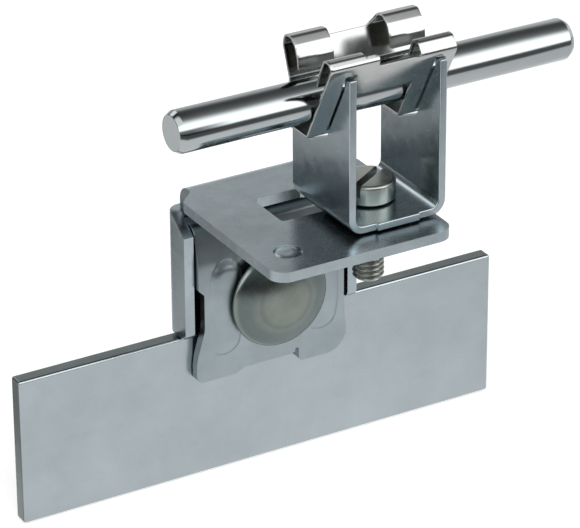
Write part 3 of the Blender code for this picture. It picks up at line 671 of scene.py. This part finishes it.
JAW_SHEET = 1.8
JAW_LEAN = 1.5                  # the upper part leans back this far
JAW_LEAN_HEIGHT = 7.0
FEET_BACK = 1.2                 # the feet are set back on the seam
FEET_BEND = 5.4
JAW_WAIST = 1.2                 # the waist is narrower on each side
FOOT_WIDTH = 8.3
FOOT_SLOPE = 2.0
NOTCH_WIDTH = 0.8
NOTCH_HEIGHT = 1.0
JAW_HOLE_HALF = 4.6
RIB_HEIGHT = 0.8
RIB_SPACING = 21.0
RIB_TOP = BOLT_Z + 8.9
RIB_BOTTOM = BOLT_Z - 10.5
RIB_HALF = 2.9
RIB_FOOT = RIB_HALF + 0.3       # where the rib's slope ends
RIB_CREST = 1.9                 # where it starts


def rib_lift(x, z):
    """How far the pressed ribs push the jaw's face forward."""
    low, high = RIB_BOTTOM + RIB_HALF, RIB_TOP - RIB_HALF
    away = min(hypot(abs(x) - RIB_SPACING / 2, z - min(max(z, low), high)), RIB_FOOT)
    share = (away - RIB_CREST) / (RIB_FOOT - RIB_CREST)
    share = min(1.0, max(0.0, share))
    return RIB_HEIGHT * (0.5 + 0.5 * cos(pi * share))


def make_jaw():
    middle = JAW_LOW.y + RIB_HEIGHT + JAW_SHEET / 2
    feet = middle + FEET_BACK
    heel = JAW_HIGH.z - JAW_SHEET / 2
    bend_top = STRIP_HIGH.z + 2.2       # the feet's setback goes from here to bend_end
    bend_end = bend_top - 6.0
    path = Path([
        (JAW_HIGH.y, heel, 0.0), (middle + JAW_LEAN, heel, 1.5),
        (middle, heel - JAW_LEAN_HEIGHT, 7.0), (middle, bend_top, FEET_BEND),
        (feet, bend_end, FEET_BEND), (feet, JAW_LOW.z, 0.0),
    ], 0.7)

    def down(z):
        return path.length_at(z, 0.2, 1.0)

    wide = JAW_HIGH.x
    waist = wide - JAW_WAIST
    whole = float(path.lengths[-1])
    shoulder = JAW_HIGH.z - 12.5
    waist_top = down(shoulder - JAW_WAIST)
    flare = down(bend_end - 2.0)
    arch = JAW_LOW.z + 2.0
    left_foot = down(JAW_LOW.z + 1.0)
    right_foot = wide - 10.5
    outline = rounded([
        (-wide, 0.0, 0.8), (-wide, down(shoulder), 0.6), (-waist, waist_top, 0.6),
        (-waist, down(bend_top), 1.8), (-wide, flare, 1.8), (-wide, left_foot, 1.5),
        (FOOT_WIDTH - wide, left_foot, 1.5), (FOOT_WIDTH + FOOT_SLOPE - wide, down(arch), 1.5),
        (right_foot - NOTCH_WIDTH, down(arch), 0.2),
        (right_foot - NOTCH_WIDTH, down(arch + NOTCH_HEIGHT), 0.2),
        (right_foot, down(arch + NOTCH_HEIGHT), 0.2), (right_foot, whole, 0.9),
        (wide, whole, 4.4), (wide, flare, 1.8), (waist, down(bend_top), 1.8),
        (waist, waist_top, 0.6), (wide, down(shoulder), 0.6), (wide, 0.0, 0.8),
    ], closed=True, step=radians(15))
    high, low = down(BOLT_Z + JAW_HOLE_HALF), down(BOLT_Z - JAW_HOLE_HALF)
    hole = rounded([
        (-JAW_HOLE_HALF, high, 0.3), (JAW_HOLE_HALF, high, 0.3),
        (JAW_HOLE_HALF, low, 0.3), (-JAW_HOLE_HALF, low, 0.3),
    ], closed=True, step=radians(30))

    def place(x, length):
        spot = path.at(length)
        return Vector((x, spot.x - rib_lift(x, spot.y), spot.y))

    columns = spaced(-wide, wide, 0.55)
    jaw = sheet_object("front_jaw_finish", [outline, hole], columns, list(path.lengths),
                       place, JAW_SHEET, 0.22)
    baked(jaw)
    dress(jaw, "jaw", "jaw_steel", "front_jaw", JAW_STEEL, CUT_STEEL)


# Carriage bolt, lock washer and nut

BOLT_LENGTH = 25.0
BOLT_RADIUS = 4.0
BOLT_PITCH = 1.25
BOLT_HEAD_RADIUS = 10.1
BOLT_RIM = 0.9
BOLT_CHAMFER = 0.8
NECK_HALF = 4.3
NECK_LENGTH = 5.0
WASHER_INNER = 4.35
WASHER_OUTER = 7.4
WASHER_EDGE = 0.15
NUT_HALF = 6.5                  # half the width across the flats
NUT_CHAMFER = NUT_HALF * 0.95   # where the end's chamfer starts
NUT_BORE = 4.15
NUT_MOUTH = 4.9                 # the bore widens to this at both ends
NUT_SINK = 0.75


def dome(radius, height, rim, steps):
    """Shallow dome with a rounded rim, from its middle out and down to its underside."""
    rise = height - rim
    ball = (radius ** 2 + rise ** 2) / (2 * rise)
    opening = atan2(radius - 0.25, ball - rise)
    points = [(max(ON_AXIS, ball * sin(opening * i / steps)),
               rim + ball * cos(opening * i / steps) - (ball - rise))
              for i in range(steps + 1)]
    return points + [
        (radius - 0.08, rim - 0.12), (radius, rim - 0.32), (radius - 0.06, rim - 0.55),
        (radius - 0.3, 0.02), (radius - 0.45, 0.0), (BOLT_RADIUS, 0.0), (ON_AXIS, 0.0),
    ]


def make_bolt():
    seat = BOLT_HIGH.y - BOLT_LENGTH + GAP      # the head reaches the jaw, over the gap
    matrix = toward((0, seat, BOLT_Z), (0, -1, 0))
    profile = dome(BOLT_HEAD_RADIUS, seat - BOLT_LOW.y, BOLT_RIM, 18)
    head = turned("carriage_bolt_head", profile, matrix, 128)
    baked(head, radians(50))
    dress(head, "jaw", "bolt_steel", "carriage_bolt_m8", BOLT_STEEL)
    neck = block("carriage_bolt_neck", (-NECK_HALF, seat - 0.3, BOLT_Z - NECK_HALF),
                 (NECK_HALF, seat + NECK_LENGTH, BOLT_Z + NECK_HALF))
    soften(neck, 0.35, segments=3)
    baked(neck)
    dress(neck, "jaw", "bolt_steel", None, BOLT_STEEL)
    shank = threaded("carriage_bolt_shank", BOLT_RADIUS, BOLT_PITCH, 0.5 - NECK_LENGTH,
                     seat - BOLT_HIGH.y, -0.2 - NECK_LENGTH, matrix, BOLT_CHAMFER)
    baked(shank, radians(60))
    dress(shank, "jaw", "bolt_steel", None, BOLT_STEEL)


def make_washer():
    """Split ring whose two ends stand a little apart."""
    thick = WASHER_HIGH.y - WASHER_LOW.y
    inner, outer, edge = WASHER_INNER, WASHER_OUTER, WASHER_EDGE
    ring = [(inner, edge), (inner + edge, 0.0), (outer - edge, 0.0), (outer, edge),
            (outer, thick - edge), (outer - edge, thick), (inner + edge, thick),
            (inner, thick - edge)]
    half_split = radians(7)
    steps = 90
    sections = []
    for i in range(steps + 1):
        turn = pi / 2 + half_split + (2 * pi - 2 * half_split) * i / steps
        sections.append([Vector((r * cos(turn), WASHER_LOW.y + h, BOLT_Z + r * sin(turn)))
                         for r, h in ring])
    washer = rings("lock_washer_finish", sections)
    baked(washer, radians(50))
    dress(washer, "bracket", "washer_steel", "lock_washer_m8", NUT_STEEL)


def make_nut():
    """Hexagon as a loft round the bore, its corners cut back at both ends."""
    thick = NUT_HIGH.y - NUT_LOW.y
    steps = 144
    sections = []
    for i in range(steps):
        turn = 2 * pi * i / steps
        side = NUT_HALF / cos(turn % (pi / 3) - pi / 6)
        cut = (side - NUT_CHAMFER) * 0.65
        ring = [(NUT_CHAMFER, 0.0), (side, cut), (side, thick - cut), (NUT_CHAMFER, thick),
                (NUT_MOUTH, thick), (NUT_BORE, thick - NUT_SINK), (NUT_BORE, NUT_SINK),
                (NUT_MOUTH, 0.0)]
        sections.append([Vector((r * cos(turn), NUT_LOW.y + h, BOLT_Z + r * sin(turn)))
                         for r, h in ring])
    nut = rings("hex_nut_finish", sections, closed=True)
    soften(nut, 0.08)
    baked(nut)
    dress(nut, "nut", "nut_steel", "hex_nut_m8", NUT_STEEL)


# U-shaped holder and its screw

SCREW_RADIUS = 3.0
SCREW_PITCH = 1.0
SCREW_CHAMFER = 0.6
SCREW_HEAD_RADIUS = 5.0
SCREW_HEAD_HEIGHT = 3.9
SLOT_WIDTH = 1.6
SLOT_DEPTH = 2.3
SLOT_TURN = radians(32)


def make_holder():
    holder = folded_copy("holder_body_finish", "holder_body", HOLDER_SHEET, 0.28)
    baked(holder)
    dress(holder, "holder", "holder_steel", "holder_body", HOLDER_STEEL, CUT_STEEL)


def make_screw():
    radius, height = SCREW_HEAD_RADIUS, SCREW_HEAD_HEIGHT
    matrix = Matrix.Translation((SCREW_X, SCREW_Y, SCREW_HIGH.z - height))
    head = turned("cheese_head_screw_head", [
        (ON_AXIS, 0.0), (radius - 0.3, 0.0), (radius - 0.07, 0.1), (radius, 0.3),
        (radius, height - 0.6), (radius - 0.07, height - 0.28),
        (radius - 0.3, height - 0.08), (radius - 0.7, height), (ON_AXIS, height),
    ], matrix)
    past = 2.0
    slot = block("screw_slot_cut",
                 (-radius - past, -SLOT_WIDTH / 2, height - SLOT_DEPTH),
                 (radius + past, SLOT_WIDTH / 2, height + past))
    slot.matrix_world = (Matrix.Translation(matrix.translation * MM)
                         @ Matrix.Rotation(SLOT_TURN, 4, "Z"))
    cut_away(head, slot)
    soften(head, 0.1)
    baked(head)
    dress(head, "screw", "screw_steel", "cheese_head_screw_m6", SCREW_STEEL)
    length = SCREW_HIGH.z - height - SCREW_LOW.z
    shank = threaded("cheese_head_screw_shank", SCREW_RADIUS, SCREW_PITCH, 0.3, -length,
                     -1.0, matrix, SCREW_CHAMFER)
    baked(shank, radians(60))
    dress(shank, "screw", "screw_steel", None, SCREW_STEEL)


# Conductor rod

ROD_BEVEL = 1.15                # length of the bevel at each end


def make_rod():
    length = ROD_HIGH.x - ROD_LOW.x
    r = ROD_RADIUS
    end = [(ON_AXIS, 0.0), (r - 0.72, 0.0), (r - 0.62, 0.05), (r - 0.06, ROD_BEVEL - 0.2),
           (r, ROD_BEVEL)]
    body = [(r, ROD_BEVEL + (length - 2 * ROD_BEVEL) * i / 8) for i in range(1, 8)]
    profile = end + body + [(radius, length - height) for radius, height in end[::-1]]
    rod = turned("conductor_rod_finish", profile, toward((ROD_LOW.x, ROD_Y, ROD_Z),
                                                         (1, 0, 0)), 128)
    baked(rod, radians(25))
    dress(rod, "conductor", "rod_steel", "conductor_rod", ROD_STEEL)


# Spring clip, cut flat and bent along its path; levels and reaches are from the rod's axis

CLIP_SHEET = 0.5
CLIP_SLOPE = radians(28.1)
CLIP_TOUCH = ROD_RADIUS + GAP + CLIP_SHEET / 2
CLIP_CROWN = 11.0
CLIP_DROP = 0.22                # the real clip rests on its seat
SEAT_BEND = 0.35                # bend of each strap at the front of its seat
HEEL_BEND = 1.2                 # and at the rear
# Share of the painted shade inside the loops
LOOP_SHADE_SHARE = 0.6              # how dark the loops are inside
LOOP_WIDTH = 7.45
FRONT_LEFT_WIDTH = 7.5
STUB_WIDTH = 2.6
STUB_HEIGHT = 2.5
HORN_TIP = HOLDER_HIGH.z - ROD_Z
BAND_LOW = HORN_TIP - 4.7
BAND_HIGH = HORN_TIP + 1.7
WALL_HIGH = 8.7
WALL_SLOPE_WIDTH = 1.9          # the rear wall's right end slopes down
WALL_SLOPE_HEIGHT = 1.6
SLOT_LOW = 4.65
SLOT_HALF = HOLDER_SHEET / 2 + GAP
LEG_LEFT = HOLDER_LOW.x + HOLDER_SHEET / 2
LEG_RIGHT = HOLDER_HIGH.x - HOLDER_SHEET / 2

# Each corner of a loop: how far behind its strap, how far below the crown, bend radius
FRONT_LOOP = ((5.1, 6.15, 0), (3.9, 3.2, 4.0), (2.4, 0.26, 0.9), (0.9, 0.36, 0.6),
              (0, 1.3, 0.7))
RIGHT_LOOP = ((5.2, 6.3, 0), (4.2, 3.6, 4.0), (2.9, 0.75, 0.9), (1.4, 0.95, 0.7),
              (0, 2.75, 0.9))
REAR_LOOP = ((0, 9.6, 1.5), (-0.35, 8.2, 1.2), (1.85, 2.2, 1.3), (1.4, 0.2, 1.2),
             (-0.8, -0.06, 1.0), (-2.2, 1.2, 1.3), (-3.15, 3.4, 2.0), (-3.35, 5.5, 0))


def clip_path(front_loop):
    def strap(level):
        """Where the sloping strap, which lies against the rod's front, is at a level."""
        return (-CLIP_TOUCH - level * sin(CLIP_SLOPE)) / cos(CLIP_SLOPE)

    start = strap(CLIP_CROWN - front_loop[-1][1])
    bottom = CLIP_LOW.z - ROD_Z + CLIP_SHEET / 2 - CLIP_DROP
    corners = [(start + reach, CLIP_CROWN - drop, bend) for reach, drop, bend in front_loop]
    corners += [(strap(bottom), bottom, SEAT_BEND), (CLIP_TOUCH, bottom, HEEL_BEND)]
    corners += [(CLIP_TOUCH + reach, CLIP_CROWN - drop, bend)
                for reach, drop, bend in REAR_LOOP]
    return Path(corners, 0.55)


def ease(value):
    value = min(1.0, max(0.0, value))
    return value * value * (3 - 2 * value)


def mark_loop_shade(clip, inner_left, inner_right):
    """Attribute of painted shade, strong on the inner faces of the clip's four loops."""
    front_hub = (ROD_Y - CLIP_TOUCH - 2.6, ROD_Z + 8.3)
    rear_hub = (ROD_Y + CLIP_TOUCH - 0.8, ROD_Z + 7.2)
    side_fade = 0.9
    start, rise = ROD_Z + 3.2, 2.0
    shade_shares = []
    for vertex in clip.data.vertices:
        spot, facing = vertex.co / MM, vertex.normal
        ends = max(ease((inner_left - spot.x) / side_fade),
                   ease((spot.x - inner_right) / side_fade))
        hub = front_hub if spot.y < ROD_Y - 1.0 else rear_hub
        inward = facing.y * (hub[0] - spot.y) + facing.z * (hub[1] - spot.z)
        level = ease((spot.z - start) / rise)
        shade_shares.append(LOOP_SHADE_SHARE * ends * level if inward > 0 else 0.0)
    loop_shade = clip.data.attributes.new("loop_shade", "FLOAT", "POINT")
    loop_shade.data.foreach_set("value", np.array(shade_shares, np.float32))


def make_clip():
    path = clip_path(FRONT_LOOP)
    right_path = clip_path(RIGHT_LOOP)
    whole = float(path.lengths[-1])

    def front(level):
        return path.length_at(level, 0.12, 0.5)

    def rear(level):
        return path.length_at(level, 0.5, 0.86)

    left, right = CLIP_LOW.x, CLIP_HIGH.x
    inner_left, inner_right = left + LOOP_WIDTH, right - LOOP_WIDTH
    front_left = left + FRONT_LEFT_WIDTH
    stub = front_left + STUB_WIDTH
    band = front(BAND_HIGH)
    joined = front(BAND_LOW)
    wall = rear(WALL_HIGH)
    outline = rounded([
        (left, 0.0, 0.5), (front_left, 0.0, 0.5), (front_left, band - STUB_HEIGHT, 0.15),
        (stub, band - STUB_HEIGHT, 0.4), (stub, band, 0.7), (inner_right, band, 0.7),
        (inner_right, 0.0, 0.5), (right, 0.0, 0.5), (right, whole, 0.5),
        (inner_right, whole, 0.5), (inner_right, wall + WALL_SLOPE_HEIGHT, 1.4),
        (inner_right - WALL_SLOPE_WIDTH, wall, 1.2), (inner_left, wall, 0.6),
        (inner_left, whole, 0.5), (left, whole, 0.5),
    ], closed=True, step=radians(22))
    window = rounded([
        (inner_left, joined, 0.7), (inner_right, joined, 0.7),
        (inner_right, rear(BAND_LOW), 0.7), (inner_left, rear(BAND_LOW), 0.7),
    ], closed=True, step=radians(22))
    low, high = front(SLOT_LOW), front(HORN_TIP + 2 * GAP)
    slots = [rounded([
        (leg - SLOT_HALF, high, 0.25), (leg + SLOT_HALF, high, 0.25),
        (leg + SLOT_HALF, low, 0.25), (leg - SLOT_HALF, low, 0.25),
    ], closed=True, step=radians(45)) for leg in (LEG_LEFT, LEG_RIGHT)]

    right_joined = right_path.length_at(BAND_LOW, 0.12, 0.5)
    blend_width = 1.5

    def place(x, length):
        spot = path.at(length)
        if x > (left + right) / 2 and length < joined:
            share = ease((x - inner_right + blend_width) / blend_width)
            spot = spot.lerp(right_path.at(length * right_joined / joined), share)
        return Vector((x, ROD_Y + spot.x, ROD_Z + spot.y))

    columns = spaced(left, right, 0.62)
    clip = sheet_object("spring_clip_finish", [outline, window, *slots], columns,
                        list(path.lengths), place, CLIP_SHEET, 0.09)
    baked(clip)
    mark_loop_shade(clip, inner_left, inner_right)
    dress(clip, "holder", "clip_steel", "spring_clip", SPRING_STEEL, SPRING_EDGE)


make_strip()
make_bracket()
make_mark()
make_jaw()
make_bolt()
make_washer()
make_nut()
make_holder()
make_screw()
make_rod()
make_clip()


# Camera, fitted to the photograph: turned about the seam, above it, and slightly rolled

IMAGE_WIDTH = 580               # pixels
SENSOR_WIDTH = 36


def make_camera():
    turn, rise, roll = radians(30.0627), radians(26.7308), radians(-0.2817)
    focal = 3671.343            # in pixels of the frame
    distance = 647.095
    off_x, off_y = -2.2044, -2.0957
    target = Vector((-18.63, -38.3, 59.3))
    back = Vector((-sin(turn) * cos(rise), -cos(turn) * cos(rise), sin(rise)))
    level = Vector((cos(turn), -sin(turn), 0))
    upward = back.cross(level)
    right = cos(roll) * level + sin(roll) * upward
    up = -sin(roll) * level + cos(roll) * upward
    place = target + distance * back - off_x * right - off_y * up
    camera = bpy.data.objects.new("camera", bpy.data.cameras.new("camera"))
    bpy.context.scene.collection.objects.link(camera)
    axes = Matrix((right, up, back)).transposed().to_4x4()
    camera.matrix_world = Matrix.Translation(place * MM) @ axes
    camera.data.sensor_width = SENSOR_WIDTH
    camera.data.lens = focal / IMAGE_WIDTH * SENSOR_WIDTH
    camera.data.clip_start = 0.01
    camera.data.clip_end = 100
    bpy.context.scene.camera = camera


# Light tent: a half tunnel along the seam

TENT_RADIUS = 0.9
TENT_AXIS_Z = 0.056
TENT_STEP = 1.5
# Angle in degrees, from 0 in front over 90 overhead to 180 behind, and brightness
TENT = ((-3.5, 0.12), (2, 0.16), (5, 0.7), (9, 2.3), (48, 2.3), (58, 1.5), (67, 0.7),
        (76, 0.3), (90, 0.16), (106, 0.1), (122, 0.1), (132, 0.2), (142, 0.45), (152, 0.66),
        (170, 0.7), (183.5, 0.7))
# Place along the seam, the shares of that brightness kept at the rear and low in front,
# and the brightness of a panel overhead and of one behind
TENT_COLUMNS = ((-5.0, 0.3, 0.4, 0.9, 0.0), (-1.7, 0.3, 0.4, 0.9, 0.0),
                (-0.9, 0.25, 0.15, 1.2, 0.0), (-0.35, 0.28, 0.1, 1.2, 0.0),
                (-0.2, 0.3, 0.1, 0.0, 1.5), (0.08, 0.7, 0.1, 0.0, 1.5),
                (0.15, 0.7, 0.1, 0.0, 0.0), (0.25, 1.0, 0.3, 0.0, 0.0),
                (0.38, 1.0, 1.0, 0.0, 0.0), (1.7, 1.0, 1.0, 0.0, 0.0))
# Angles where the low share ends and the rear one starts, and where each panel fades
TENT_SHARE_ANGLES = (20, 28, 70, 95)
TENT_ABOVE_ANGLES = (50, 62, 100, 115)
TENT_BEHIND_ANGLES = (126, 132, 150, 158)


def empty_material(name):
    """Material with no nodes yet, and its tree."""
    made = bpy.data.materials.new(name)
    made.use_nodes = True
    made.node_tree.nodes.clear()
    return made, made.node_tree


def emission(tree, strength):
    return add_node(tree, "Emission", {"Color": (1, 1, 1, 1), "Strength": strength}).outputs[0]


def make_tent():
    angles = np.arange(TENT[0][0], TENT[-1][0] + 0.1, TENT_STEP)
    levels = np.interp(angles, [a for a, _ in TENT], [b for _, b in TENT])
    verts = []
    glows = []
    for angle, level in zip(angles, levels):
        y = -TENT_RADIUS * cos(radians(angle))
        z = TENT_AXIS_Z + TENT_RADIUS * sin(radians(angle))
        for x, rear, low, above, behind in TENT_COLUMNS:
            verts.append((x, y, z))
            glow = level * np.interp(angle, TENT_SHARE_ANGLES, (low, 1.0, 1.0, rear))
            over = above * np.interp(angle, TENT_ABOVE_ANGLES, (0, 1, 1, 0))
            back = behind * np.interp(angle, TENT_BEHIND_ANGLES, (0, 1, 1, 0))
            glows.append(max(glow, over, back))
    wide = len(TENT_COLUMNS)
    faces = [(wide * i + j, wide * i + j + 1, wide * (i + 1) + j + 1, wide * (i + 1) + j)
             for i in range(len(angles) - 1) for j in range(wide - 1)]
    mesh = bpy.data.meshes.new("tent")
    mesh.from_pydata(verts, [], faces)
    glow = mesh.attributes.new("glow", "FLOAT", "POINT")
    glow.data.foreach_set("value", np.array(glows, np.float32))
    tent = link("light_tent", mesh)
    tent.visible_camera = False
    made, tree = empty_material("tent_cloth")
    level = add_node(tree, "Attribute", attribute_name="glow").outputs["Fac"]
    output = add_node(tree, "OutputMaterial")
    tree.links.new(emission(tree, level), output.inputs["Surface"])
    tent.data.materials.append(made)


# Floor: white paper with the part's shadow. Mirrors see a glow painted in lighter and darker
# zones instead, with a painted shadow behind on the left and a dark zone far in front

FLOOR_HALF = 6.0
FLOOR_Z = -0.0004
PAPER = 0.62
PAPER_FILL = 0.58               # added for the camera, so that the paper is white


def make_floor():
    mesh = bpy.data.meshes.new("floor")
    corners = ((-1, -1), (1, -1), (1, 1), (-1, 1))
    mesh.from_pydata([(FLOOR_HALF * x, FLOOR_HALF * y, FLOOR_Z) for x, y in corners], [],
                     [(0, 1, 2, 3)])
    floor = link("floor", mesh)
    made, tree = empty_material("floor_paper")
    place = add_node(tree, "TexCoord").outputs["Object"]
    far = spread(tree, vector_math(tree, "LENGTH", place)["Value"], 0.0, 1.0, 0.2, 0.5)
    rays = add_node(tree, "LightPath").outputs
    shown = larger(tree, rays["Is Camera Ray"], rays["Is Transmission Ray"])
    paper = add_node(tree, "BsdfDiffuse", {"Color": (PAPER, PAPER, PAPER, 1)}).outputs[0]
    near = add_node(tree, "AddShader", {0: paper, 1: emission(tree, PAPER_FILL)}).outputs[0]
    seen = add_node(tree, "MixShader", {0: far, 1: near, 2: emission(tree, 1.0)}).outputs[0]
    mixed = add_node(tree, "MixShader", {0: shown, 1: paper, 2: seen}).outputs[0]

    def line(x, y, start, end):
        """Go from 0 to 1 between two distances in a direction."""
        along = vector_math(tree, "DOT_PRODUCT", place, (x, y, 0))["Value"]
        return spread(tree, along, 0.0, 1.0, start, end)

    def blend(share, first, second):
        return add_node(tree, "Mix", {0: share, 2: first, 3: second},
                        data_type="FLOAT").outputs[0]

    # To mirrors the floor is a painted glow: bright near the front, dark beyond about 20 cm in
    # front, a painted shadow behind on the left, and bright further left and to the right
    near_front = blend(line(1.0, 0.0, 0.03, 0.11), 0.95, 0.78)
    front = blend(line(0.0, -1.0, 0.166, 0.231), near_front, 0.12)
    patch = blend(line(0.0, 1.0, 0.075, 0.1), 0.36, 0.08)
    far_left = blend(line(-1.0, 0.25, 0.095, 0.135), patch, 0.8)
    rear = blend(line(1.0, -0.25, -0.09, 0.0), far_left, 0.97)
    level = blend(line(0.0, 1.0, -0.01, 0.04), front, rear)
    mixed = add_node(tree, "MixShader", {0: rays["Is Glossy Ray"], 1: mixed,
                                         2: emission(tree, level)}).outputs[0]
    output = add_node(tree, "OutputMaterial")
    tree.links.new(mixed, output.inputs["Surface"])
    floor.data.materials.append(made)


def make_world():
    """White to the camera, in mirrors and through glass, and half as bright as a light."""
    world = bpy.data.worlds.new("studio")
    bpy.context.scene.world = world
    world.use_nodes = True
    tree = world.node_tree
    rays = add_node(tree, "LightPath").outputs
    shown = larger(tree, rays["Is Camera Ray"], rays["Is Glossy Ray"])
    shown = larger(tree, shown, rays["Is Transmission Ray"])
    background = tree.nodes["Background"]
    background.inputs["Color"].default_value = (1, 1, 1, 1)
    level = spread(tree, shown, 0.5, 1.0, 0.0, 1.0)
    tree.links.new(level, background.inputs["Strength"])


def make_key_lamp():
    """Soft lamp for the shadows, which no mirror shows."""
    light = bpy.data.lights.new("key_lamp", "AREA")
    light.shape = "RECTANGLE"
    light.size = light.size_y = 0.3
    light.energy = 1.2
    lamp = bpy.data.objects.new("key_lamp", light)
    bpy.context.scene.collection.objects.link(lamp)
    lamp.location = (-0.25, -0.35, 0.62)
    lamp.visible_glossy = False
    aim = Vector((0, 0, 0.05)) - lamp.location
    lamp.rotation_euler = aim.to_track_quat("-Z", "Y").to_euler()


make_camera()
make_tent()
make_floor()
make_world()
make_key_lamp()

bpy.context.scene.view_settings.view_transform = "Standard"
